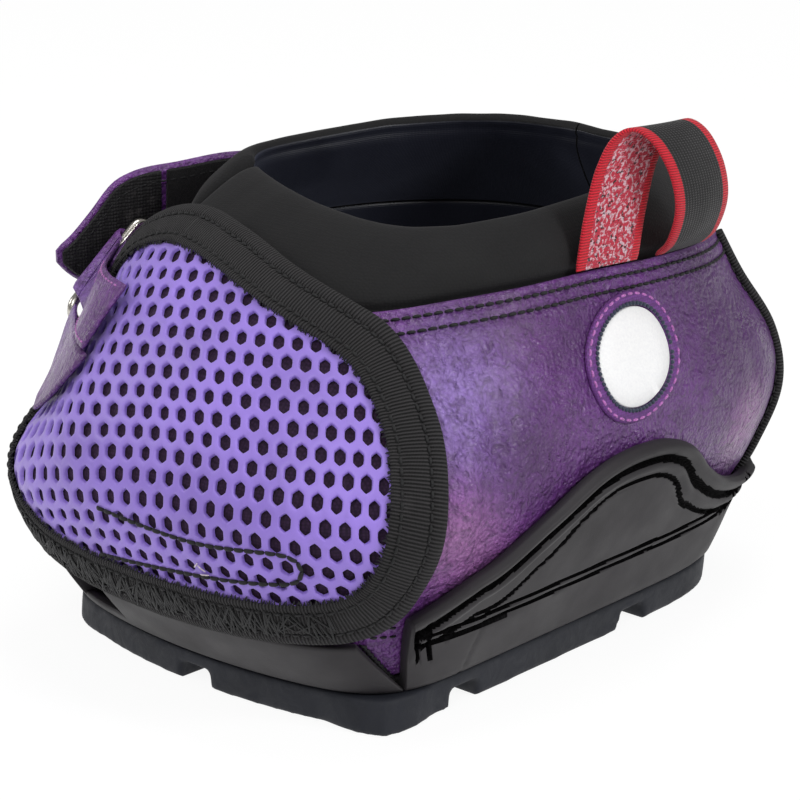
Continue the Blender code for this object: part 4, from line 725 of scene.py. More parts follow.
def sheet_sections(first, last, foot, top, outside, thickness, step, wave=None, height_step=None):
    """Section loops of a sheet on the form with rounded edges all round."""
    girth = FORM.girth(60 * MM)
    count = max(8, int((last - first) * girth / step))
    half = thickness / 2
    ends = np.array([0.0, 0.12, 0.45, 1.0]) * half / girth
    share = np.concatenate([first + ends, np.linspace(first, last, count + 1)[2:-2], last - ends[::-1]])
    grow = np.ones(len(share))
    grow[:3] = (0.25, 0.62, 0.9)
    grow[-3:] = (0.9, 0.62, 0.25)
    low, high = foot(share), top(share)
    middle = outside(share) - half
    half = half * grow
    rows = max(6, int((high - low).max() / (height_step or step)))
    up = np.linspace(0, 1, rows)[None, :]
    turn = np.radians((50, 0, -50))[None, :]
    low, high, middle, half, share = (value[:, None] for value in (low, high, middle, half, share))
    straight = low + half + up * (high - low - 2 * half)
    heights = np.concatenate([straight, high - half + half * np.cos(turn),
                              straight[:, ::-1], low + half - half * np.cos(turn)], axis=1)
    offsets = np.concatenate([middle + half + 0 * up, middle + half * np.sin(turn),
                              middle - half + 0 * up, middle - half * np.sin(turn)], axis=1)
    share = np.broadcast_to(share, heights.shape)
    if wave is not None:
        offsets = offsets + wave(share, heights)
    return FORM.places(share, heights, offsets)


def band_sections(middle, thickness, round_ends=True):
    """Closed sections of a strip from the grid of points on its middle face."""
    along = np.gradient(middle, axis=0)
    across = np.gradient(middle, axis=1)
    normal = unit(np.cross(along, across))
    grow = np.ones((len(middle), 1, 1))
    if round_ends:
        grow[0] = grow[-1] = 0.45
    half = thickness / 2 * grow
    edge = unit(across) * half * 0.7
    front = middle + normal * half
    back = middle - normal * half
    return np.concatenate([front, middle[:, -1:] + edge[:, -1:], back[:, ::-1],
                           middle[:, :1] - edge[:, :1]], axis=1)


def stitch_row(path, normals, length, gap, width, lift=0.0, closed=False):
    """Ends and directions of stitches laid at even steps along a path."""
    both = np.concatenate([path, normals], axis=1)
    fine = evenly(both, (length + gap) / 8, closed)
    count = max(1, len(fine) // 8)
    spots = np.arange(count) * 8
    reach = max(1, int(round(8 * length / (length + gap))))
    start = fine[spots]
    end = fine[np.minimum(spots + reach, len(fine) - 1)]
    out = unit(start[:, 3:] + end[:, 3:])
    return start[:, :3] + out * lift, end[:, :3] + out * lift, out, width


def stitches(name, rows, finish, body):
    """One piece of many small thread capsules."""
    rings = ((0.0, 0.25, -0.55), (0.10, 0.80, -0.12), (0.30, 1.0, 0.18), (0.5, 1.04, 0.26),
             (0.70, 1.0, 0.18), (0.90, 0.80, -0.12), (1.0, 0.25, -0.55))
    sides = 6
    verts = []
    for start, end, out, width in rows:
        keep = np.linalg.norm(end - start, axis=1) > width * 0.5
        start, end, out = start[keep], end[keep], out[keep]
        way = end - start
        side = unit(np.cross(way, out))
        for place, size, rise in rings:
            for corner in range(sides):
                angle = 2 * math.pi * corner / sides
                verts.append(start + way * place + side * (math.cos(angle) * size * width / 2)
                             + out * ((math.sin(angle) * size * 0.8 + rise) * width / 2))
    per = len(rings) * sides
    faces = []
    points = []
    base = 0
    for index in range(0, len(verts), per):
        block = np.stack(verts[index:index + per], axis=1)
        count = len(block)
        points.append(block.reshape(-1, 3))
        corner = []
        for ring in range(len(rings) - 1):
            for side in range(sides):
                after = (side + 1) % sides
                corner.append((ring * sides + side, ring * sides + after,
                               (ring + 1) * sides + after, (ring + 1) * sides + side))
        quads = (np.array(corner)[None] + (np.arange(count) * per)[:, None, None] + base)
        faces += quads.reshape(-1, 4).tolist()
        for number in range(count):
            start = base + number * per
            faces.append([start + side for side in range(sides)][::-1])
            faces.append([start + (len(rings) - 1) * sides + side for side in range(sides)])
        base += count * per
    return piece(name, closed_mesh(np.concatenate(points), faces), finish, body, angle=80)


def on_form_row(places, offset, length, gap, width, closed=False, lift=0.0, parts=12):
    """A row of stitches through (share, height) places on the form."""
    fine = through(places, parts, closed) if len(places) > 2 else np.linspace(places[0], places[1], 60)
    path = FORM.places(*fine.T, offset)
    normals = FORM.normal(*fine.T)
    return stitch_row(path, normals, length, gap, width, lift, closed)


# Finishes

def feed(node, inputs):
    """Set a node's inputs, or link them to other nodes' outputs."""
    for name, value in inputs.items():
        if isinstance(value, bpy.types.NodeSocket):
            node.id_data.links.new(value, node.inputs[name])
        else:
            node.inputs[name].default_value = value


def new_node(tree, kind, inputs, **settings):
    """A new node with its settings, and its inputs set or linked."""
    made = tree.nodes.new(f"ShaderNode{kind}")
    for name, value in settings.items():
        setattr(made, name, value)
    feed(made, inputs)
    return made


class Finish:
    """A Principled material under construction, with short calls for its nodes."""

    def __init__(self, name, metallic=0.0, specular=0.5, sheen=0.0, sheen_tint=(1, 1, 1), coat=0.0):
        self.material = bpy.data.materials.new(name)
        self.material.use_nodes = True
        self.tree = self.material.node_tree
        self.shader = self.tree.nodes["Principled BSDF"]
        feed(self.shader, {"Metallic": metallic, "Specular IOR Level": specular, "Sheen Weight": sheen,
                           "Sheen Roughness": 0.45, "Sheen Tint": (*sheen_tint, 1.0), "Coat Weight": coat,
                           "Coat Roughness": 0.3})
        coordinates = self.tree.nodes.new("ShaderNodeTexCoord")
        self.place = coordinates.outputs["Object"]
        self.uv = coordinates.outputs["UV"]
        self.bump = None

    def node(self, kind, inputs, **settings):
        """A new node of this material."""
        return new_node(self.tree, kind, inputs, **settings)

    def noise(self, scale, detail=3.0, rough=0.55, warp=0.0, flat=False):
        """Noise with a given number of cells a metre, on the UV map if flat."""
        inputs = {"Vector": self.uv if flat else self.place, "Scale": scale, "Detail": detail,
                  "Roughness": rough, "Distortion": warp}
        return self.node("TexNoise", inputs).outputs["Fac"]

    def cells(self, scale, random=1.0, smooth=True, vector=None):
        """Distance to the nearest cell centre, for pebbled grain, hooks and knit."""
        inputs = {"Vector": vector or self.place, "Scale": scale, "Randomness": random}
        if smooth:
            inputs["Smoothness"] = 0.35
        return self.node("TexVoronoi", inputs, feature="SMOOTH_F1" if smooth else "F1").outputs["Distance"]

    def grain(self, scale, bend, amount):
        """Cells on coordinates pushed about by noise, for an irregular grain."""
        push = self.node("TexNoise", {"Vector": self.place, "Scale": bend, "Detail": 2.0}).outputs["Color"]
        bent = self.node("VectorMath", {0: push, 1: (amount, amount, amount), 2: self.place},
                         operation="MULTIPLY_ADD")
        return self.cells(scale, vector=bent.outputs[0])

    def ribs(self, spacing, direction):
        """Parallel ribs along the UV map, some mm apart."""
        scale = 1 / (spacing * MM) * math.pi / 10
        inputs = {"Vector": self.uv, "Scale": scale, "Distortion": 0.0, "Detail": 1.0}
        return self.node("TexWave", inputs, bands_direction=direction).outputs["Fac"]

    def near(self, place, reach):
        """One at a place on the boot, fading to nothing at a distance from it."""
        away = self.node("VectorMath", {0: self.place, 1: tuple(float(part) for part in place)},
                         operation="DISTANCE")
        return self.span(away.outputs["Value"], 1.0, 0.0, 0.0, reach, "SMOOTHSTEP")

    def span(self, value, low, high, start=0.0, end=1.0, way="LINEAR"):
        """A value taken from one range to another and held inside it."""
        return self.node("MapRange", {"Value": value, "From Min": start, "From Max": end, "To Min": low,
                                      "To Max": high}, interpolation_type=way).outputs["Result"]

    def sums(self, operation, first, second):
        """Two values joined by one operation."""
        return self.node("Math", {0: first, 1: second}, operation=operation).outputs[0]

    def mixed(self, factor, first, second):
        """Two colours mixed by a value."""
        first, second = ((*part, 1.0) if isinstance(part, tuple) else part for part in (first, second))
        return self.node("Mix", {0: factor, 6: first, 7: second}, data_type="RGBA").outputs[2]

    def raised(self, height, distance, strength=1.0):
        """One more layer of bump, on top of those before it."""
        inputs = {"Strength": strength, "Distance": distance, "Height": height}
        if self.bump is not None:
            inputs["Normal"] = self.bump
        self.bump = self.node("Bump", inputs).outputs["Normal"]

    def done(self, colour, roughness):
        """Link the colour, the roughness and the bump."""
        feed(self.shader, {"Base Color": colour, "Roughness": roughness, "Normal": self.bump})
        return self.material


def shade(colour, amount):
    """A colour made lighter or darker."""
    return tuple(min(1.0, part * amount) for part in colour)


def finish_of(name):
    """The boot's material of one name, made on first use as LOOKS describes it."""
    own_name = f"boot_{name}"
    if own_name in bpy.data.materials:
        return bpy.data.materials[own_name]
    own, amount, settings, patterns, layers, bumps, rough = LOOKS[name]
    if isinstance(own, str):
        own = tuple(getattr(bpy.context.scene.hoof_boot_colours, own))
    own = shade(own or (), amount)
    finish = Finish(own_name, **settings)
    made = {key: getattr(finish, kind)(*values) for key, (kind, *values) in patterns.items()}

    def pattern(key):
        if key not in made:
            first, second = key.strip("-").split("*") if "*" in key else (None, key.strip("-"))
            made[key] = (finish.sums("MULTIPLY", made[first], made[second]) if first
                         else finish.sums("SUBTRACT", 1.0, made[second]))
        return made[key]

    tone = None
    for key, low, high, start, end, *tints in layers:
        tints = [tint if isinstance(tint, tuple) else shade(own, tint) for tint in tints]
        first, second = tints if len(tints) == 2 else (tone, tints[0])
        # The leather gets its painted highlights and painted shade after its first colour layer.
        zones = LEATHER_LIGHT_AND_SHADE_ZONES if name == "leather" and tone is None else ()
        tone = finish.mixed(finish.span(pattern(key), low, high, start, end), first, second)
        for share, height, reach, strong, colour in zones:
            near = finish.near(FORM.places(share, height * MM), reach * MM)
            tone = finish.mixed(finish.span(near, 0, strong), tone, colour)
    for key, distance, strength in bumps:
        finish.raised(pattern(key), distance * MM, strength)
    return finish.done(tone, finish.span(pattern(rough[0]), *rough[1:]))


# Sole

def rim_height(share):
    """Height of the cup's top edge: toe rim, notch, slot and side wings."""
    around = np.abs(share)
    wing = WING_HEIGHT * curve(WING_EDGE, np.maximum(around, 0.262))[..., 0]
    wing = wing - WING_DIP * np.clip((WING_DIP_END - around) / (WING_DIP_END - WING_FRONT), 0, 1) ** 1.2
    rise = ease((around - NOTCH_SHARE) / (WING_FRONT - NOTCH_SHARE))
    top = np.where(around < NOTCH_SHARE, RIM_HEIGHT, RIM_HEIGHT + (wing - RIM_HEIGHT) * rise)
    aside = np.where(share < NOTCH_SHARE, (NOTCH_SHARE - share) / NOTCH_SPREAD[0],
                     (share - NOTCH_SHARE) / NOTCH_SPREAD[1])
    notch = NOTCH_FOOT + aside * (RIM_HEIGHT - NOTCH_FOOT)
    near = (share > NOTCH_RANGE[0]) & (share < NOTCH_RANGE[1])
    top = np.where(near, np.minimum(top, np.maximum(notch, NOTCH_FOOT)), top)
    inside = ease((share - SLOT_ENDS[0]) / STEEP) * ease((SLOT_ENDS[1] - share) / STEEP)
    return top + (SLOT_RIM - RIM_HEIGHT) * inside


def bump_at(distance, centre, width):
    """A rounded ridge across a distance."""
    return np.clip(1 - ((distance - centre) / (width / 2)) ** 2, 0, 1) ** 1.5


def cup_relief(share, height, top):
    """How far the wing's beads, grooves and lines stand off the cup's face, and where its grooves are painted
    dark as shade.
    """
    around = np.abs(share)
    slope = np.gradient(top, share * HALF_ROUND)
    deep = (top - height) / np.sqrt(1 + slope ** 2)
    on_wing = ease((around - WING_FRONT) / STEEP) * ease((WING_END - around) / 0.02)
    above = ease((height - 17 * MM) / (4 * MM))
    # The top band: a bead, a corded groove, a lower bead and a third line that spreads at the crest.
    spread = 8.6 * MM + 3.0 * MM * bump_at(around, 0.38, 0.22) - 2.0 * MM * ease((0.29 - around) / 0.04)
    bead = sum(stand * bump_at(deep, middle, width) for middle, width, stand in WING_BEADS)
    ribs = 0.2 * MM * np.sin(around * HALF_ROUND / (0.9 * MM) * 2 * math.pi)
    third = bump_at(deep, spread, 1.2 * MM)
    grooves = (1.4 * MM + ribs) * bump_at(deep, CORD_DEPTH, 1.9 * MM) + 1.1 * MM * third
    # The double line, with a small jog, and the pairs of bars that cross it.
    jog = 0.3 * MM * (ease((around - 0.345) / 0.004) - ease((around - 0.60) / 0.004))
    straight = height - jog + 2.4 * MM * (1 - (around - 0.25) / 0.5)
    lines = sum(bump_at(straight, level, 1.4 * MM) for level in LINE_HEIGHTS)
    short = ease((height - 17.5 * MM) / (1 * MM)) * ease((deep - 2.6 * MM) / (0.6 * MM))
    at_rear = ease((height - 23 * MM) / (1 * MM)) * ease((34 * MM - height) / (1 * MM))
    bars = short * sum(bump_at(around, place, BAR_WIDTH) for place in FRONT_BARS)
    bars = bars + at_rear * sum(bump_at(around, place, BAR_WIDTH) for place in REAR_BARS)
    cuts = np.minimum(lines * ease((deep - 0.5 * MM) / (1.5 * MM)) + bars, 1.0)
    # The arc under the crest and the faint leaning line at the front.
    swing = (around - 0.33) / 0.33
    arc_height = 33.5 * MM + 17 * MM * np.clip(1 - (swing - 0.72) ** 2 / 0.55, 0, 1)
    arc = bump_at(height, arc_height, 1.3 * MM) * ease(swing / 0.1) * ease((1.15 - swing) / 0.1)
    arc = arc * ease((deep - 9 * MM) / (2 * MM))
    leaning = bump_at(around, 0.325 + (height - 12 * MM) / (14 * MM) * 0.03, 0.007)
    leaning = leaning * ease((22 * MM - height) / (2 * MM))
    relief = on_wing * (above * (bead - grooves) - 1.5 * MM * cuts - 0.6 * MM * arc - 0.35 * MM * leaning)
    # Where the wing is painted dark as shade: the corded groove, the cut lines and bars, and the third line.
    corded = above * bump_at(deep, CORD_DEPTH, 2.2 * MM)
    return relief, on_wing * (corded + cuts + above * third) > 0.3


def build_cup():
    """The cup: toe rim, beaded side wings, V notch, slot and floor."""
    spans = [np.arange(*span) for span in CUP_STEPS]
    spans += [sign * np.arange(*span) for span in WING_STEPS for sign in (-1, 1)]
    share = np.unique(np.round(np.concatenate(spans), 5))
    top = rim_height(share)
    wing = ease((top - 29 * MM) / (3 * MM))
    plain_marks = np.stack([CUP_BOTTOM + (top - CUP_BOTTOM) * part for part in (0, 0.4, 0.6, 0.72, 1)])
    band = np.maximum(top - 10.5 * MM, 29.2 * MM)
    wing_marks = np.stack([CUP_BOTTOM + 0 * top, 22.8 * MM + 0 * top, 29 * MM + 0 * top, band, top])
    marks = plain_marks + (wing_marks - plain_marks) * wing
    heights = []
    for low, high, parts in zip(marks[:-1], marks[1:], (12, 18, 20, 34)):
        heights += [low + (high - low) * index / parts for index in range(parts)]
    heights = np.stack(heights[:-2])
    face = CUP_GAP + CUP_WALL
    foot = np.clip((heights - CUP_BOTTOM) / (1.2 * MM), 0, 1)
    drop = np.clip((top - heights) / LIP, 0, 1)
    offsets = face - 0.7 * MM * (1 - foot) ** 2 - LIP * (1 - np.sqrt(1 - (1 - drop) ** 2))
    relief, dark = cup_relief(share, heights, top)
    offsets = offsets + relief * np.clip(drop * 1.5, 0, 1)
    rows = [FORM.places(share, height, offset, True) for height, offset in zip(heights, offsets)]
    for angle in (80, 55, 25, 0):
        turn = math.radians(angle)
        wide = (face - CUP_GAP) / 2
        offset = CUP_GAP + wide + (wide - LIP * 0.6) * math.sin(turn)
        rows.append(FORM.places(share, top - 0.12 * MM * math.sin(turn) ** 2, offset, True))
    rows.append(FORM.places(share, top - 0.1 * MM, CUP_GAP + 0.9 * MM, True))
    rows.append(FORM.places(share, top - 0.9 * MM, CUP_GAP + 0.1 * MM, True))
    for part in (0.1, 0.3, 0.5, 0.75, 1.0):
        rows.append(FORM.places(share, top - 0.9 * MM + (FLOOR - top + 0.9 * MM) * part, CUP_GAP, True))
    mesh = tube_mesh(np.stack(rows))
    # Faces in the grooves take the darker rubber: painted shade.
    groove_shade_mask = np.zeros(len(mesh.vertices), int)
    groove_shade_mask[:dark.size] = dark.ravel()
    for polygon in mesh.polygons:
        polygon.material_index = int(max(groove_shade_mask[index] for index in polygon.vertices))
    dress("sole_cup", mesh, ["rubber", "bead_texture"], "boot", 60)


def build_tread():
    """The tread: chunky lugs with rounded edges between drafted channels."""
    share = np.linspace(-1, 1, 361)[:-1]
    outset = CUP_GAP + CUP_WALL - 0.6 * MM
    levels = ((0.0, outset - 1.6 * MM), (0.8 * MM, outset - 0.8 * MM), (LUG_DEPTH, outset - 0.4 * MM),
              (TREAD_HEIGHT - 0.5 * MM, outset - 0.2 * MM), (TREAD_HEIGHT, outset - 0.8 * MM))
    corner, reach, stand = LUG_CORNER
    aside = np.clip(1 - np.abs(np.abs(share) - corner) / reach, 0, 1) ** 1.15 * np.where(share > 0, 1, 0.45)
    rings = [FORM.places(share, FORM.low, offset + stand * aside * (1 - 0.5 * height / TREAD_HEIGHT),
                         True, height) for height, offset in levels]
    made = piece("dressed_tread", tube_mesh(np.stack(rings)), "tread_rubber", None)
    shape = bmesh.new()
    toe = FORM.places(0.0, FORM.low, outset, True)[1]
    heel = FORM.places(1.0, FORM.low, outset, True)[1]
    channels = ((-0.565 * FORM_TOE * 0.8, SIDE_CHANNEL, True), (0.400 * FORM_HEEL * 0.8, SIDE_CHANNEL, True),
                (toe, END_CHANNEL, False), (heel, END_CHANNEL, False))
    for place, length, along_x in channels:
        for corner in bmesh.ops.create_cube(shape, size=1.0)["verts"]:
            x, y, z = corner.co
            wide = LUG_WIDTH - LUG_DRAFT * z
            level = z * 2 * LUG_DEPTH
            if along_x:
                corner.co = (x * length, place + y * wide, level)
            else:
                corner.co = (x * wide, place + y * length, level)
    cutters = bpy.data.meshes.new("channel_cutters")
    shape.to_mesh(cutters)
    shape.free()
    cutter = bpy.data.objects.new("channel_cutters", cutters)
    bpy.context.scene.collection.objects.link(cutter)
    cut = made.modifiers.new("channels", "BOOLEAN")
    cut.object = cutter
    cut.solver = "EXACT"
    cut.use_self = True
    remesh = made.modifiers.new("rounding", "REMESH")
    remesh.mode = "VOXEL"
    remesh.voxel_size = TREAD_CELL
    soften = made.modifiers.new("soften", "SMOOTH")
    soften.factor = 0.5
    soften.iterations = 3
    apply_modifiers(made)
    bpy.data.objects.remove(cutter, do_unlink=True)
    made.data.shade_smooth()
    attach(made, "boot")
    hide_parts("tread_sole")


def build_insole():
    """The crowned foam footbed on the cup's floor."""
    share = np.linspace(-1, 1, 241)[:-1]
    edge = np.where(share <= 0, lining_depth(share), lining_depth(-share)) - LINING - 2.4 * MM
    foot, top = SHEET_FOOT, SHEET_FOOT + INSOLE
    profile = ((foot, -0.6), (foot + 0.5 * MM, -0.1), (foot + 2.5 * MM, 0.0), (top - 0.9 * MM, -0.3),
               (top - 0.2 * MM, -1.2), (top, -3.0), (top - 0.3 * MM, -9.0), (top - 0.6 * MM, -20.0),
               (top - 0.7 * MM, -32.0))
    rings = [FORM.places(share, SHEET_FOOT, edge + inset * MM, True, height) for height, inset in profile]
    made = piece("dressed_insole", tube_mesh(np.stack(rings)), "foam", "boot", ["insole_pad"])


# Upper

def quarter_wave(share, height):
    """Soft creases and dents of the leather quarters."""
    places = FORM.places(share, height)
    wave = rumple(places, 34 * MM, 0.30 * MM) + rumple(places, 15 * MM, 0.14 * MM, 2.0)
    for middle, lean, low, high, wide, depth in CREASES:
        across = share - middle - lean * (height / MM - low) / 300
        along = (height / MM - low) / (high - low)
        wave = wave + depth * MM * np.exp(-(across / wide) ** 2) * np.clip(4 * along * (1 - along), 0, 1)
    below = leather_top(share) - height
    sewn = 0.35 * MM * (bump_at(below, TOP_ROWS[0], 2.4 * MM) + bump_at(below, TOP_ROWS[1], 2.4 * MM))
    return wave * np.clip(below / (3 * MM), 0, 1) * ease((height - 30 * MM) / (12 * MM)) - sewn


def build_quarters():
    """Leather quarters, the black heel panel between them, and their stitched top edges."""
    foot = always(SHEET_FOOT)
    flush = always(0.0)
    front, back = QUARTER_ENDS
    for name, first, last in (("right", front, back), ("left", -back, -front)):
        rings = sheet_sections(first, last, foot, leather_top, flush, LEATHER, 1.0 * MM, quarter_wave)
        mesh = tube_mesh(rings)
        dress(f"{name}_quarter", mesh, "leather", "boot")
    rings = sheet_sections(back + SEAM_GAP, 2 - back - SEAM_GAP, foot, leather_top, flush, LEATHER, 1.2 * MM)
    dress("heel_panel", tube_mesh(rings), "grosgrain", "boot")
    for name, side in (("right", 1), ("left", -1)):
        height = np.linspace(14 * MM, 95 * MM, 90)
        share = side * PIPING_SHARE + 0 * height
        line = FORM.places(share, height, 0.7 * MM)
        normal = FORM.normal(share, height)
        beside = np.cross(normal, unit(np.gradient(line, axis=0)))[:, None]
        turn = np.linspace(0, 2 * math.pi, 15)[:-1][None, :, None]
        rings = line[:, None] + 2.1 * MM * np.cos(turn) * beside + 1.25 * MM * np.sin(turn) * normal[:, None]
        piece(f"{name}_heel_piping", tube_mesh(rings), "grosgrain", "boot")
    rows = []
    for side in (-1, 1):
        share = side * np.linspace(0.17, 0.985, 60)
        for drop in TOP_ROWS:
            places = np.stack([share, leather_top(share) - drop], axis=1)
            rows.append(on_form_row(places, 0.05 * MM, *SEAM_THREAD, parts=4))
        for inset in (0.008, 0.016):
            edge = np.stack([side * (back - inset) + 0 * share, np.linspace(40 * MM, 93 * MM, 60)], axis=1)
            rows.append(on_form_row(edge, 0.05 * MM, *EDGE_THREAD, parts=3))
    for low in (24.8, 27.4):
        rows.append(on_form_row(np.array([(0.228, low * MM), (0.2635, (low - 0.5) * MM)]),
                                0.1 * MM, *CORNER_THREAD))
    tack = [(0.2200 + 0.0240 * part + (0.003 if index % 2 else -0.003), (23.0 - 11.5 * part) * MM)
            for index, part in enumerate(np.linspace(0, 1, 20))]
    for start, end in zip(tack[:-1], tack[1:]):
        rows.append(on_form_row(np.array([start, end]), 0.4 * MM, *TACK_THREAD))
    stitches("quarter_stitches", rows, "black_thread", "boot")


def build_linings():
    """Two padded lining halves whose front wings overlap, and the patches that hold them."""
    foot = always(SHEET_FOOT)
    top = lambda share: collar_foot(share) - SEAT
    rest = always(LINING_OFFSET)
    for name, first, last, outside in (("right", -LINING_END, 1 - SEAM_GAP, rest),
                                       ("left", -1 + SEAM_GAP, LINING_END, lining_depth)):
        rings = sheet_sections(first, last, foot, top, outside, LINING, 2.0 * MM)
        mesh = tube_mesh(rings)
        made = dress(f"{name}_lining", mesh, "satin_lining", "boot")
    patch_foot, patch_top = (always(SHEET_FOOT + (LEATHER_TOP - SHEET_FOOT) * part) for part in PATCH_SHARES)
    for name, offset, finish in (("loop", -5.8 * MM, "loop_tape"), ("hook", -7.2 * MM, "hook_tape")):
        rings = sheet_sections(-PATCH_END, PATCH_END, patch_foot, patch_top, always(offset),
                               1.0 * MM, 1.5 * MM)
        dress(f"wing_{name}_patch", tube_mesh(rings), finish, "boot")


def collar_rings(share, size):
    """Section loops of the collar's padded roll, with a seam line below the inner rim."""
    section = through(np.array(COLLAR_SECTION), 4, closed=True)
    foot, rim = collar_foot(share)[:, None], collar_rim(share)[:, None]
    middle = -COLLAR_DEPTH / 2
    covered = np.clip((0.30 - np.abs(wrapped(share))) / 0.06, 0, 1)[:, None]
    across = section[None, :, 0] * COLLAR_DEPTH
    level = 0.5 + (section[None, :, 1] - 0.5) * size[:, None]
    offset = middle + (across - middle) * size[:, None] - FRONT_TUCK * covered
    height = foot + (rim - foot) * level
    seam = np.exp(-((section[None, :, 0] + 0.86) / 0.05) ** 2) * (section[None, :, 1] > 0.8)
    offset = offset + 0.7 * MM * seam * size[:, None]
    places = FORM.places(share[:, None], height, offset)
    puff = rumple(places, 26 * MM, 0.28 * MM, 0.5) + rumple(places, 12 * MM, 0.10 * MM, 3.0)
    free = np.clip((section[None, :, 1] - 0.3) / 0.2, 0, 1)
    return FORM.places(share[:, None], height, offset + puff * free)


def build_collar():
    """The padded collar in two halves, with its lining side, binding and end stitches."""
    section = through(np.array(COLLAR_SECTION), 4, closed=True)
    after = np.roll(section, -1, axis=0)
    marks = ((section[:, 0] + after[:, 0]) / 2 < -0.72) & ((section[:, 1] + after[:, 1]) / 2 < 0.99)
    for name, first, last, front in (("right", COLLAR_ENDS[0], 1 - COLLAR_GAP, True),
                                     ("left", -1 + COLLAR_GAP, COLLAR_ENDS[1], False)):
        share = np.linspace(first, last, int((last - first) / 0.0075))
        ends = np.array([0, 0.0012, 0.003, 0.0055, 0.0085, 0.0125])
        if front:
            share = np.concatenate([first + ends, share[share > first + 0.018]])
            near = share - first
        else:
            share = np.concatenate([share[share < last - 0.018], last - ends[::-1]])
            near = last - share
        size = 0.55 + 0.45 * np.sqrt(1 - np.clip(1 - near / 0.022, 0, 1) ** 2)
        mesh = tube_mesh(collar_rings(share, size), marks=marks.astype(int))
        made = dress(f"{name}_collar", mesh, ["neoprene", "satin_lining"], "boot", 70)
    share = np.linspace(-0.222, 0.17, 90)
    foot = collar_foot(share)[:, None]
    rise = np.linspace(0.0, 4.2 * MM, 6)[None, :]
    crown = 0.3 * MM * np.sin(np.linspace(0, math.pi, 6))[None, :]
    offset = COLLAR_SECTION[0][0] * COLLAR_DEPTH - FRONT_TUCK + 0.55 * MM + crown
    middle = FORM.places(share[:, None], foot + rise, offset + 0 * foot)
    piece("collar_binding", tube_mesh(band_sections(middle, 0.9 * MM)),
          "grosgrain", "boot")
    share = np.linspace(-0.215, 0.165, 80)
    places = np.stack([share, collar_foot(share) + 3.3 * MM], axis=1)
    row = on_form_row(places, -2.35 * MM, *STRAP_THREAD, parts=3)
    stitches("collar_stitches", [row], "black_thread", "boot")


def build_badge():
    """A round badge: woven ring, bare white disc and a dashed stitch circle."""
    above = FORM.places(BADGE_SHARE, BADGE_HEIGHT + MM)
    lean = np.linalg.norm(above - FORM.places(BADGE_SHARE, BADGE_HEIGHT)) / MM
    angles = np.linspace(0, 2 * math.pi, 121)[:-1]

    def circle(radius):
        height = BADGE_HEIGHT + radius * np.sin(angles) / lean * BADGE_STRETCH[1]
        return BADGE_SHARE + radius * np.cos(angles) / FORM.girth(height) * BADGE_STRETCH[0], height

    def rings(profile):
        return np.stack([FORM.places(*circle(radius), offset) for radius, offset in profile])

    low, high = 0.3 * MM, 1.2 * MM
    inner, outer, face = BADGE_INNER, BADGE_RADIUS, BADGE_FACE
    loop = ((inner, low), (inner, high - 0.3 * MM), (inner + 0.3 * MM, high),
            (inner + 1.6 * MM, high + 0.12 * MM), (outer - 1.4 * MM, high + 0.12 * MM),
            (outer - 0.35 * MM, high), (outer, high - 0.35 * MM), (outer, low))
    ring = rings(loop).transpose(1, 0, 2)
    dress("badge_ring", tube_mesh(ring, closed=True), "badge_ring", "boot")
    disc = rings(((0.3 * MM, low), (face, low), (face, high - 0.3 * MM), (face - 0.3 * MM, high),
                  (face * 0.6, high + 0.1 * MM), (0.3 * MM, high + 0.12 * MM)))
    dress("badge_disc", tube_mesh(disc), "badge_disc", "boot")
    for name, radius, thread, finish in BADGE_LINES:
        share, height = circle(radius)
        path = FORM.places(share, height, high + 0.05 * MM)
        row = stitch_row(path, FORM.normal(share, height), *thread, 0, True)
        stitches(name, [row], finish, "boot")


# Shield

def moved_in(loop, distance):
    """An outline of (share, height) moved inward along the form, in small steps."""
    steps = max(1, math.ceil(distance / (2.5 * MM)))
    nudge = 0.002
    for _ in range(steps):
        share, height = loop.T
        here = FORM.places(share, height)
        tangent = unit(np.roll(here, -1, axis=0) - np.roll(here, 1, axis=0))
        around = (FORM.places(share + nudge, height) - here) / nudge
        upward = (FORM.places(share, height + MM) - here) / MM
        normal = unit(np.cross(around, upward))
        inward = unit(np.cross(tangent, normal)) * (distance / steps)
        a, b, c, d, e = (np.einsum("ij,ij->i", first, second) for first, second in (
            (around, around), (around, upward), (upward, upward), (around, inward), (upward, inward)))
        scale = a * c - b * b
        following = np.stack([share + (d * c - e * b) / scale, height + (a * e - b * d) / scale], axis=1)
        beside = (np.roll(following, 1, axis=0) + np.roll(following, -1, axis=0)) / 2
        loop = following + (beside - following) * 0.15
    return loop


def shield_outline(count):
    """The shield's outline as even points of (share, height)."""
    knots = np.array(SHIELD_EDGE)
    knots[:, 1] = SHIELD_BOTTOM + knots[:, 1] * (SHIELD_TOP - SHIELD_BOTTOM)
    dense = through(knots, 12, closed=True)
    both = np.concatenate([FORM.places(*dense.T), dense], axis=1)
    both = np.concatenate([both, both[:1]])
    lengths = np.concatenate([[0], np.cumsum(np.linalg.norm(np.diff(both[:, :3], axis=0), axis=1))])
    spots = np.arange(count) * lengths[-1] / count
    return np.stack([np.interp(spots, lengths, both[:, 3 + column]) for column in (0, 1)], axis=1)


class Shield:
    """The shield's shared outlines: distances in from its edge, finely spaced."""

    def __init__(self):
        edge = shield_outline(52)
        fold = moved_in(edge, 1 * MM)
        middle = moved_in(fold, 3 * MM)
        back = moved_in(middle, 4 * MM)
        front = moved_in(back, 4 * MM)
        self.coarse = (edge, fold, middle, back, front)
        self.loops = np.stack([through(loop, 5, closed=True) for loop in self.coarse])
        self.steps = np.array([0, 1, 4, 8, 12]) * MM

    def inward(self, distance):
        """The outline at one distance in from the edge."""
        index = int(np.clip(np.searchsorted(self.steps, distance) - 1, 0, 3))
        part = (distance - self.steps[index]) / (self.steps[index + 1] - self.steps[index])
        return self.loops[index] + (self.loops[index + 1] - self.loops[index]) * part


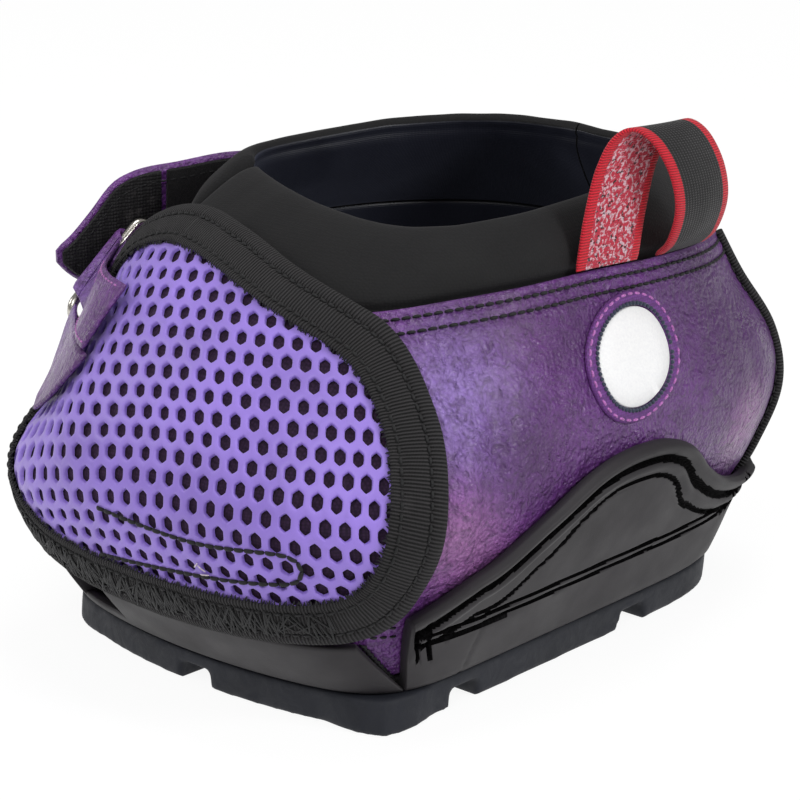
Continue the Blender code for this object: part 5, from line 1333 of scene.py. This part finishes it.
def build_binding(shield):
    """Folded ribbed tape round the shield's edge, a little uneven and frayed."""
    loops = [shield.inward(distance * MM) for distance, offset in BINDING_SECTION]
    rings = np.stack([FORM.places(*loop.T, offset) for loop, (_, offset) in zip(loops, BINDING_SECTION)],
                     axis=1)
    wave = rumple(rings, 18 * MM, 0.16 * MM, 0.3) * (np.arange(len(loops)) < BINDING_SHOWN)
    normal = FORM.normal(*shield.inward(4 * MM).T)
    rings = rings + normal[:, None, :] * np.abs(wave)[..., None]
    dress("shield_binding", tube_mesh(rings, closed=True), "grosgrain", "shield", 60)


def build_backing(shield):
    """The dark cloth sheet behind the net."""
    edge = shield.inward(1.6 * MM)
    front = shield.inward(12 * MM)
    centre = edge.mean(axis=0)
    loops = [edge, shield.inward(4 * MM), shield.inward(8 * MM), front]
    loops += [centre + (front - centre) * part for part in BACKING_PARTS]
    rings = [FORM.places(*loop.T, BACKING_FOOT) for loop in reversed(loops)]
    rings += [FORM.places(*loop.T, BACKING_FOOT + 1.0 * MM) for loop in loops]
    dress("shield_backing", tube_mesh(np.stack(rings)), "backing_cloth", "shield")


def inside_loop(loop, across, up):
    """Whether a place lies inside an outline."""
    before = np.roll(loop, 1, axis=0)
    crosses = (before[:, 1] > up) != (loop[:, 1] > up)
    with np.errstate(divide="ignore", invalid="ignore"):
        hit = before[:, 0] + (up - before[:, 1]) * (loop[:, 0] - before[:, 0]) / (loop[:, 1] - before[:, 1])
    return bool(np.sum(crosses & (hit > across)) % 2)


def build_net():
    """The perforated net: rounded six-sided holes with crowned ribs between them."""
    pitch = bpy.context.scene.hoof_boot_sizes.net_pitch
    hole = bpy.context.scene.hoof_boot_sizes.net_hole
    keep = moved_in(shield_outline(52), 2.4 * MM + pitch / math.sqrt(3))
    heights = np.arange(SHIELD_BOTTOM, SHIELD_TOP + 2 * MM, MM)
    line = FORM.places(0 * heights, heights)
    lengths = np.concatenate([[0], np.cumsum(np.linalg.norm(np.diff(line, axis=0), axis=1))])
    reach = pitch / math.sqrt(3)
    sizes = [1.0 if index % 2 == 0 else math.cos(math.pi / 6) for index in range(12)]
    turns = [math.pi / 6 * (index + 1) for index in range(12)]
    sides = [(math.cos(turn) * size, math.sin(turn) * size) for turn, size in zip(turns, sizes)]
    points = []
    corners = {}
    faces = []
    uses = {}

    def lay(across, along, offset):
        points.append((across, along, offset))
        return len(points) - 1

    def corner(across, along, layer):
        key = (round(across / (pitch / 24)), round(along / (pitch / 24)), layer)
        if key not in corners:
            corners[key] = lay(across, along, NET_FOOT + (1.1 * MM if layer else 0.0))
        return corners[key]

    def on_form(across, along):
        along = along * (NET_STRETCH[0] + NET_STRETCH[1] * along)
        above = along - NET_LEAN_FROM
        across = across * (1 - NET_CROWD * across) - NET_LEAN / 2 * (above + np.hypot(above, 8 * MM))
        height = np.interp(along + across * (NET_ROWS[0] - NET_ROWS[1] * across), lengths, heights)
        return NET_CENTRE + across / FORM.girth(height), height

    for row in range(-6, int(lengths[-1] / (pitch * math.sqrt(3) / 2)) + 8):
        for column in range(-32, 33):
            across = (column + 0.5 * (row % 2)) * pitch
            along = row * pitch * math.sqrt(3) / 2
            share, height = on_form(across, along)
            if not inside_loop(keep, float(share), float(height)):
                continue
            wobble = 1 + 0.04 * math.sin(row * 2.1 + column * 1.3)
            top = [corner(across + reach * x, along + reach * y, 1) for x, y in sides]
            low = [corner(across + reach * x, along + reach * y, 0) for x, y in sides]
            loops = []
            for size, offset in HOLE_RINGS:
                radius = hole / math.sqrt(3) * size * wobble
                inset = [radius * (0.95 if side % 2 == 0 else 1.0) for side in range(12)]
                loops.append([lay(across + part * x, along + part * y, NET_FOOT + offset * MM)
                              for part, (x, y) in zip(inset, sides)])
            rings = [top] + loops + [low]
            for upper, lower in zip(rings[:-1], rings[1:]):
                for side in range(12):
                    after = (side + 1) % 12
                    faces.append((upper[side], upper[after], lower[after], lower[side]))
            for side in range(12):
                after = (side + 1) % 12
                uses.setdefault(tuple(sorted((top[side], top[after]))), []).append(
                    (top[after], top[side], low[side], low[after]))
    faces += [found[0] for found in uses.values() if len(found) == 1]
    points = np.array(points)
    share, height = on_form(points[:, 0], points[:, 1])
    places = FORM.places(share, height, points[:, 2])
    mesh = closed_mesh(places, faces)
    dress("shield_net", mesh, "net", "shield", 75)


def build_shield_stitches(shield):
    """The binding's stitch lines, the dense zigzag along its foot and the box stitch on the net."""
    rows = []
    for distance in TAPE_ROWS:
        loop = shield.inward(distance)
        path = FORM.places(*loop.T, FRONT_TOP + 0.05 * MM)
        rows.append(stitch_row(path, FORM.normal(*loop.T), *TAPE_THREAD, 0.0, True))
    inner, outer = shield.inward(11.0 * MM), shield.inward(1.6 * MM)
    left, right = ZIGZAG_SHARES
    lower = np.where((inner[:, 1] < ZIGZAG_TOP) & (inner[:, 0] > left) & (inner[:, 0] < right))[0]
    lower = lower[np.argsort(inner[lower, 0])]
    chance = np.random.default_rng(7)
    for _ in range(ZIGZAG_PASSES):
        spots = np.sort(chance.uniform(0, len(lower) - 1, ZIGZAGS))
        near_edge, far_edge = chance.uniform(0.0, 0.3, ZIGZAGS), chance.uniform(0.6, 1.0, ZIGZAGS)
        parts = np.where(np.arange(ZIGZAGS) % 2 == 0, near_edge, far_edge)
        index = lower[spots.astype(int)]
        places = inner[index] + (outer[index] - inner[index]) * parts[:, None]
        points = FORM.places(*places.T, FRONT_TOP + 0.45 * MM)
        out = FORM.normal(*places.T)
        near = np.linalg.norm(points[1:] - points[:-1], axis=1) < 16 * MM
        rows.append((points[:-1][near], points[1:][near], out[:-1][near], 0.6 * MM))
    inner = through(shield.inward(12.0 * MM), 3, closed=True)
    back = through(shield.inward(8.0 * MM), 3, closed=True)
    count = len(inner)
    reach = chance.uniform(0.02, 0.24, count)[:, None]
    drift = chance.integers(-2, 3, count)
    tips = inner + (inner - back) * reach
    tips = tips[(np.arange(count) + drift) % count]
    roots = inner + (back - inner) * 0.25
    rows.append((FORM.places(*roots.T, FRONT_TOP), FORM.places(*tips.T, NET_TOP + 0.45 * MM),
                 FORM.normal(*roots.T), 0.42 * MM))
    rows.append(on_form_row(np.array(BOX_STITCH) * (1, MM), NET_TOP + 0.3 * MM, *BOX_THREAD, parts=14))
    stitches("shield_stitches", rows, "black_thread", "shield")
    bits = []
    for share, height, turn in LOOSE_BITS:
        start = FORM.places(share, height * MM, NET_TOP + 0.6 * MM)
        away = (share + 0.012 * math.cos(turn), (height + 1.8 * math.sin(turn)) * MM)
        end = FORM.places(*away, NET_TOP + 0.9 * MM)
        out = FORM.normal(share, height * MM)
        bits.append((start[None], end[None], out[None], 0.4 * MM))
    stitches("loose_threads", bits, "pale_thread", "shield")


# Tab, ring, strap and loop

def tab_frame():
    """The sleeve's axis outside the shield's left edge: middle, direction and length."""
    low, high = FORM.places(*TAB_LOW), FORM.places(*TAB_HIGH)
    length = np.linalg.norm(high - low)
    return (low + high) / 2, (high - low) / length, length


def build_tab():
    """The leather tab folded round the ring's bar, and the gusset below it."""
    middle, axis, sleeve = tab_frame()
    turn_radius = WIRE / 2 + BORE_GAP + SLEEVE_WALL / 2
    ply = SLEEVE_WALL / 2 + SEAT / 2
    lowest = math.asin(ply / turn_radius)
    stand = FRONT_TOP + 0.8 * MM + SLEEVE_WALL / 2
    grid = []
    for part in np.linspace(0, 1, 15):
        centre = middle + axis * (sleeve * (part - 0.5))
        height = TAB_LOW[1] + (TAB_HIGH[1] - TAB_LOW[1]) * part
        seats = FORM.places(np.array(TAB_SEATS), height, stand) - centre
        slant = seats[0] @ axis
        ahead = unit(seats[0] - axis * slant)
        outward = unit(np.cross(ahead, axis))
        outward = -outward if outward[0] > 0 else outward
        length = seats[0] @ ahead
        tongue = length - 2 * SLEEVE_WALL
        bends = -lowest - (2 * math.pi - 2 * lowest) * np.linspace(0, 1, 25)
        path = [(tongue, -ply, slant * tongue / length)]
        path += [(turn_radius * math.cos(a), turn_radius * math.sin(a),
                  slant * turn_radius * math.cos(a) / length) for a in bends]
        flat = [(seat @ ahead, seat @ outward + ply, seat @ axis) for seat in seats]
        path += through(np.array([path[-1]] + flat), 5)[1:].tolist()
        path = np.array(path)
        grid.append(centre + path[:, :1] * ahead + path[:, 1:2] * outward + path[:, 2:] * axis)
    grid = np.array(grid)
    dress("ring_tab", tube_mesh(band_sections(grid, SLEEVE_WALL)), "leather", "shield", 70)
    steps = np.linspace(0, 1, 25)
    part = steps[None, :]
    fine = curve(GUSSET_ROWS, steps)
    share = fine[:, :1] + (fine[:, 1:2] - fine[:, :1]) * part
    height = GUSSET_FOOT + steps[:, None] * GUSSET_RISE + 0 * part
    lift = FRONT_TOP + 0.3 * MM + SLEEVE_WALL / 2 + GUSSET_STAND * fine[:, 2:3] * (1 - part) ** 2
    mesh = tube_mesh(band_sections(FORM.places(share, height, lift), SLEEVE_WALL))
    dress("tab_gusset", mesh, "leather", "shield", 70)
    out = unit(np.cross(np.gradient(grid, axis=0), np.gradient(grid, axis=1)))
    face, normal = grid[:, 30:], out[:, 30:]
    if (normal.mean(axis=(0, 1)) @ np.array([-1, -1, 0])) < 0:
        normal = -normal
    path = face + normal * SLEEVE_WALL / 2
    seams = [stitch_row(path[line], normal[line], *TAB_THREAD) for line in (1, 13)]
    seams.append(stitch_row(path[:, 2], normal[:, 2], *TAB_END_THREAD))
    stitches("tab_stitches", seams, "pink_thread", "shield")


def build_ring():
    """The wire ring whose front bar turns in the tab."""
    middle, axis, _ = tab_frame()
    back = np.array([0.0, 1.0, 0.0])
    back = unit(back - axis * (back @ axis))
    outward = unit(np.cross(axis, back))
    radius, half, far = RING_CORNER, RING_LENGTH / 2 - RING_CORNER, RING_REACH
    corners = ((far - radius, half, 0.0), (far - radius, -half, -0.5), (radius, -half, -1.0),
               (radius, half, -1.5))
    path = []
    for across, along, start in corners:
        for turn in np.linspace(0, 1, 10):
            angle = math.pi * start + 0.5 * math.pi * (1 - turn)
            path.append((across + radius * math.cos(angle), along + radius * math.sin(angle)))
    path = np.array(path)
    way = unit(np.roll(path, -1, axis=0) - np.roll(path, 1, axis=0))
    side = np.stack([way[:, 1], -way[:, 0]], axis=1)
    centre = middle + path[:, :1] * back + (path[:, 1:] + RING_SLIDE) * axis
    lateral = side[:, :1] * back + side[:, 1:] * axis
    angle = np.linspace(0, 2 * math.pi, 19)[:-1]
    rings = centre[:, None] + (lateral[:, None] * np.cos(angle)[None, :, None]
                               + outward * np.sin(angle)[None, :, None]) * WIRE / 2
    dress("strap_ring", tube_mesh(rings, closed=True), "steel", "ring", 80)


def strap_frame():
    """The strap's hinge, the way it runs to its tip, outward, and up along the leather."""
    stand = STRAP_PANEL + 3 * SEAT
    height = STRAP_FOOT + STRAP_HEIGHT * STRAP_PIVOT
    hinge = FORM.places(STRAP_SHARE, height, stand)
    above = FORM.places(STRAP_SHARE, height + STRAP_HEIGHT / 4, stand)
    ahead = unit(np.array(STRAP_AHEAD))
    outward = np.array([ahead[1], -ahead[0], 0.0])
    up = above - hinge
    return hinge, ahead, outward, unit(up - ahead * (up @ ahead))


def strap_grid(start, end, margin, lift):
    """Points on the middle face of one strap layer, and a gentle rumple."""
    hinge, ahead, outward, up = strap_frame()
    grid = []
    for station in np.linspace(start + margin, end - margin, 50):
        share = station / STRAP_LENGTH
        low, high = curve(STRAP_EDGES, share)
        way = unit(up + (np.array([0.0, 0.0, 1.0]) - up) * min(1.0, share * 1.4))
        face = unit(np.cross(way, ahead))
        face = -face if face @ outward < 0 else face
        base = hinge + ahead * station + outward * (1.0 * MM * share ** 3)
        low_edge = (low - STRAP_PIVOT) * STRAP_HEIGHT + margin
        high_edge = (high - STRAP_PIVOT) * STRAP_HEIGHT - margin
        across = low_edge + (high_edge - low_edge) * np.linspace(0, 1, 18)
        wave = 0.22 * MM * np.sin(station / (11 * MM) + across / (9 * MM)) * min(1, share * 4)
        grid.append(base + across[:, None] * way + (lift + wave)[:, None] * face)
    return np.array(grid)


def build_strap():
    """The closing strap: leather back, hook and loop faces, stitching, and its sewn anchor."""
    hinge, ahead = strap_frame()[:2]
    made = []
    under, middle = -SEAT - STRAP_PANEL, -SEAT - STRAP_PANEL / 2
    for node, first, last, margin, lift, thick, finish, slot, angle in (
            ("closure_strap", 0, STRAP_LENGTH, 0, STRAP_LEATHER / 2, STRAP_LEATHER, "leather", "leather", 70),
            ("strap_loop_panel", 0, STRAP_SPLIT, PANEL_MARGIN, middle, STRAP_PANEL, "loop_tape", "hook", 50),
            ("strap_hook_panel", STRAP_SPLIT, STRAP_LENGTH, PANEL_MARGIN, middle, STRAP_PANEL,
             "hook_tape", "hook", 50)):
        mesh = tube_mesh(band_sections(strap_grid(first, last, margin, lift), thick))
        made.append(dress(node, mesh, finish, None, angle))
    inner, face, back = (strap_grid(0, STRAP_LENGTH, STITCH_MARGIN, lift)
                         for lift in (under, 0.0, STRAP_LEATHER))
    out = unit(inner - face)
    rows = [stitch_row(inner[:, line], out[:, line], *STRAP_THREAD) for line in (0, -1)]
    rows.append(stitch_row(inner[-1], out[-1], *STRAP_THREAD))
    rows += [stitch_row(back[:, line], -out[:, line], *STRAP_THREAD) for line in (0, -1)]
    made.append(stitches("strap_stitches", rows, "black_thread", None))
    for made_piece in made:
        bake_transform(made_piece)
    foot = always(STRAP_FOOT - STRAP_HEIGHT * 0.1)
    top = always(STRAP_FOOT - STRAP_HEIGHT * 0.1 + ANCHOR_HEIGHT * 0.9)
    over = always(SEAT + STRAP_LEATHER)
    rings = sheet_sections(-0.64, STRAP_SHARE - 0.018, foot, top, over, STRAP_LEATHER, 1.2 * MM)
    dress("strap_anchor", tube_mesh(rings), "leather", "boot")
    low, high = (STRAP_FOOT + edge for edge in ANCHOR_SEAM)
    back_end, front_end = ANCHOR_SHARES
    box = np.array([(back_end, low), (front_end, low), (front_end, high), (back_end, high), (back_end, low)])
    rows = [on_form_row(np.array([a, b]), SEAT + STRAP_LEATHER + 0.05 * MM, *ANCHOR_THREAD)
            for a, b in zip(box[:-1], box[1:])]
    stitches("anchor_stitches", rows, "black_thread", "boot")


def seam_places(run):
    """Points on the leather's face along the line where the pull loop is sewn."""
    share = LOOP_SHARE + run / FORM.girth(LEATHER_TOP)
    return FORM.places(share, leather_top(share) + SEAT, SEAT + RIBBON / 2)


def build_pull_loop():
    """The woven ribbon loop: red edges, black face and a flecked reverse."""
    start, drift = LOOP_START, LOOP_DRIFT
    ends = seam_places(np.array([start, start + drift, start + drift / 2]))
    along = unit(ends[1] - ends[0])
    outward = unit(np.array([along[1], -along[0], 0.0]))
    steps = np.linspace(0, 1, 61)
    path = curve(LOOP_PATH, steps) * (LOOP_BULGE, LOOP_RISE, drift)
    columns = np.linspace(-0.5, 0.5, 17)
    run = start + path[:, 2:] + columns[None, :] * RIBBON_WIDTH
    middle = seam_places(run) + path[:, :1, None] * outward
    middle[..., 2] += path[:, 1:2]
    cup = 0.25 * MM * (1 - (2 * columns) ** 2)
    middle += outward * (cup[None, :] * np.sin(steps * math.pi)[:, None])[..., None]
    rings = band_sections(middle, RIBBON)
    size = rings.shape[1]
    count = len(columns)
    marks = np.zeros(size, int)
    marks[:2] = marks[count - 3:count + 3] = marks[size - 4:] = 1
    marks[count + 3:size - 4] = 2
    mesh = tube_mesh(rings, marks=marks)
    made = dress("pull_loop", mesh, ["ribbon_face", "ribbon_edge", "ribbon_back"], None, 70)
    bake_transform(made)
    rows = []
    for height in (2.0 * MM, 4.6 * MM):
        for first in (start, start + drift):
            spots = np.linspace(first - 10 * MM, first + 10 * MM, 40)
            path = seam_places(spots)
            path[:, 2] -= height + SEAT
            share = LOOP_SHARE + spots / FORM.girth(LEATHER_TOP)
            normals = FORM.normal(share, leather_top(share) - height)
            rows.append(stitch_row(path - normals * 0.6 * MM, normals, *LOOP_THREAD))
    stitches("pull_loop_stitches", rows, "black_thread", "boot")


# Stage

def build_floor():
    """A wide floor that looks white to the camera and softly lit to everything else."""
    material = bpy.data.materials.new("studio_floor")
    material.use_nodes = True
    tree = material.node_tree
    tree.nodes.clear()
    matte = new_node(tree, "BsdfDiffuse", {"Color": (0.88, 0.88, 0.88, 1)}).outputs[0]
    glow = new_node(tree, "Emission", {"Strength": 1.06}).outputs[0]
    rays = new_node(tree, "LightPath", {}).outputs
    seen = new_node(tree, "Math", {0: rays["Is Camera Ray"], 1: rays["Is Glossy Ray"]}, operation="MAXIMUM")
    share = new_node(tree, "Math", {0: seen.outputs[0], 1: 0.86}, operation="MULTIPLY").outputs[0]
    mixer = new_node(tree, "MixShader", {0: share, 1: matte, 2: glow})
    new_node(tree, "OutputMaterial", {"Surface": mixer.outputs[0]})
    mesh = bpy.data.meshes.new("studio_floor")
    mesh.from_pydata([(-4, -4, 0), (4, -4, 0), (4, 4, 0), (-4, 4, 0)], [], [(0, 1, 2, 3)])
    mesh.materials.append(material)
    ground = bpy.data.objects.new("studio_floor", mesh)
    bpy.context.scene.collection.objects.link(ground)


def build_world():
    """A white backdrop that gives only soft light."""
    world = bpy.context.scene.world or bpy.data.worlds.new("studio")
    bpy.context.scene.world = world
    world.use_nodes = True
    tree = world.node_tree
    tree.nodes.clear()
    soft, white = (new_node(tree, "Background", {"Color": (1, 1, 1, 1), "Strength": strength}).outputs[0]
                   for strength in (0.27, 1.0))
    rays = new_node(tree, "LightPath", {}).outputs
    mixer = new_node(tree, "MixShader", {0: rays["Is Camera Ray"], 1: soft, 2: white})
    new_node(tree, "OutputWorld", {"Surface": mixer.outputs[0]})


def aimed(name, data, place, way):
    """A lamp or camera at a place, turned one way."""
    holder = bpy.data.objects.new(name, data)
    bpy.context.scene.collection.objects.link(holder)
    holder.location = place
    holder.rotation_euler = way.to_track_quat("-Z", "Y").to_euler()
    return holder


def build_stage():
    """White floor, soft studio lamps and the camera."""
    build_floor()
    build_world()
    for name, place, size, power in LAMPS:
        lamp = bpy.data.lights.new(name, "AREA")
        lamp.shape = "SQUARE"
        lamp.size = size
        lamp.energy = power
        aimed(name, lamp, place, Vector(LAMP_AIM) - Vector(place))
    camera = bpy.data.cameras.new("photo_camera")
    camera.sensor_width = SENSOR
    camera.lens = CAMERA_LENS / FRAME_SIZE * SENSOR
    camera.shift_x, camera.shift_y = (shift / FRAME_SIZE for shift in CAMERA_SHIFT)
    camera.clip_start = 0.01
    turn, pitch = math.radians(CAMERA_TURN), math.radians(CAMERA_PITCH)
    place = (CAMERA_AWAY * math.sin(turn), -CAMERA_AWAY * math.cos(turn), CAMERA_HEIGHT)
    look = Vector((-math.sin(turn) * math.cos(pitch), math.cos(turn) * math.cos(pitch), -math.sin(pitch)))
    bpy.context.scene.camera = aimed("photo_camera", camera, place, look)
    bpy.context.scene.view_settings.view_transform = "Standard"


# Add-on

def colour_property(name, text, value):
    """A colour that the sidebar shows."""
    return FloatVectorProperty(name=name, description=text, default=value, size=3, min=0.0, max=1.0,
                               subtype="COLOR")


class HoofBootColours(bpy.types.PropertyGroup):
    """Colours of the boot's finishes."""

    leather: colour_property("Leather", "Leather of quarters, tab and strap", (0.155, 0.042, 0.240))
    net: colour_property("Net", "Lavender net of the front shield", (0.31, 0.20, 0.70))
    rubber: colour_property("Rubber", "Cup and side wings of the sole", (0.020, 0.0175, 0.0205))
    tread: colour_property("Tread", "Bluish rubber of the tread", (0.013, 0.0145, 0.021))
    tape: colour_property("Tape", "Black binding, hook tape and ribbon", (0.009, 0.0085, 0.009))
    collar: colour_property("Collar", "Foam-backed knit of the collar", (0.0075, 0.0072, 0.008))
    lining: colour_property("Lining", "Satin cloth inside the boot", (0.010, 0.011, 0.020))
    backing: colour_property("Backing", "Cloth behind the net", (0.035, 0.016, 0.040))
    badge: colour_property("Badge line", "Stitched line round the badge's disc", (0.030, 0.042, 0.075))
    ribbon: colour_property("Ribbon edge", "Woven edge of the pull loop", (0.62, 0.012, 0.030))
    thread: colour_property("Thread", "Pink thread of badge and tab", (0.50, 0.16, 0.50))


class HoofBootSizes(bpy.types.PropertyGroup):
    """Sizes that don't change the CAD's own."""

    net_pitch: FloatProperty(name="Net pitch", description="Distance between the net's holes",
                             default=5.3 * MM, min=4 * MM, max=12 * MM, unit="LENGTH")
    net_hole: FloatProperty(name="Net hole", description="Width of a hole across its flats",
                            default=3.3 * MM, min=1 * MM, max=8 * MM, unit="LENGTH")


class HOOFBOOT_OT_sole(bpy.types.Operator):
    """Build the rubber cup, the tread and the footbed"""

    bl_idname = "hoof_boot.sole"
    bl_label = "Sole"

    def execute(self, context):
        build_cup()
        build_tread()
        build_insole()
        return {"FINISHED"}


class HOOFBOOT_OT_quarters(bpy.types.Operator):
    """Build the leather quarters, the heel panel and their stitching"""

    bl_idname = "hoof_boot.quarters"
    bl_label = "Quarters"

    def execute(self, context):
        build_quarters()
        return {"FINISHED"}


class HOOFBOOT_OT_linings(bpy.types.Operator):
    """Build the padded linings and the patches between their wings"""

    bl_idname = "hoof_boot.linings"
    bl_label = "Linings"

    def execute(self, context):
        build_linings()
        return {"FINISHED"}


class HOOFBOOT_OT_collar(bpy.types.Operator):
    """Build the padded collar, its binding and stitches"""

    bl_idname = "hoof_boot.collar"
    bl_label = "Collar"

    def execute(self, context):
        build_collar()
        return {"FINISHED"}


class HOOFBOOT_OT_badge(bpy.types.Operator):
    """Build the round stitched badge"""

    bl_idname = "hoof_boot.badge"
    bl_label = "Badge"

    def execute(self, context):
        build_badge()
        return {"FINISHED"}


class HOOFBOOT_OT_shield(bpy.types.Operator):
    """Build the front shield: binding, backing, net and stitching"""

    bl_idname = "hoof_boot.shield"
    bl_label = "Shield"

    def execute(self, context):
        shield = Shield()
        build_binding(shield)
        build_backing(shield)
        build_net()
        build_shield_stitches(shield)
        return {"FINISHED"}


class HOOFBOOT_OT_closure(bpy.types.Operator):
    """Build the tab, the wire ring and the hook-and-loop strap"""

    bl_idname = "hoof_boot.closure"
    bl_label = "Closure"

    def execute(self, context):
        build_tab()
        build_ring()
        build_strap()
        return {"FINISHED"}


class HOOFBOOT_OT_pull_loop(bpy.types.Operator):
    """Build the ribbon pull loop"""

    bl_idname = "hoof_boot.pull_loop"
    bl_label = "Pull loop"

    def execute(self, context):
        build_pull_loop()
        return {"FINISHED"}


class HOOFBOOT_OT_stage(bpy.types.Operator):
    """Build the floor, the lamps and the camera"""

    bl_idname = "hoof_boot.stage"
    bl_label = "Stage"

    def execute(self, context):
        build_stage()
        return {"FINISHED"}


STEPS = (HOOFBOOT_OT_sole, HOOFBOOT_OT_quarters, HOOFBOOT_OT_linings, HOOFBOOT_OT_collar,
         HOOFBOOT_OT_badge, HOOFBOOT_OT_shield, HOOFBOOT_OT_closure, HOOFBOOT_OT_pull_loop,
         HOOFBOOT_OT_stage)


class HOOFBOOT_PT_panel(bpy.types.Panel):
    """Sidebar panel with the boot's colours, sizes and building steps"""

    bl_label = "Hoof Boot"
    bl_idname = "HOOFBOOT_PT_panel"
    bl_space_type = "VIEW_3D"
    bl_region_type = "UI"
    bl_category = "Hoof Boot"

    def draw(self, context):
        layout = self.layout
        for group in (context.scene.hoof_boot_colours, context.scene.hoof_boot_sizes):
            column = layout.column()
            for name in group.__annotations__:
                column.prop(group, name)
        column = layout.column()
        for step in STEPS:
            column.operator(step.bl_idname)


CLASSES = (HoofBootColours, HoofBootSizes) + STEPS + (HOOFBOOT_PT_panel,)


def register():
    """Register the classes and the scene's settings."""
    for made in CLASSES:
        bpy.utils.register_class(made)
    bpy.types.Scene.hoof_boot_colours = PointerProperty(type=HoofBootColours)
    bpy.types.Scene.hoof_boot_sizes = PointerProperty(type=HoofBootSizes)


def unregister():
    """Remove what register added."""
    del bpy.types.Scene.hoof_boot_sizes
    del bpy.types.Scene.hoof_boot_colours
    for made in reversed(CLASSES):
        bpy.utils.unregister_class(made)


def main():
    """Build everything on the frame."""
    register()
    for step in STEPS:
        group, name = step.bl_idname.split(".")
        getattr(getattr(bpy.ops, group), name)()


if __name__ == "__main__":
    main()
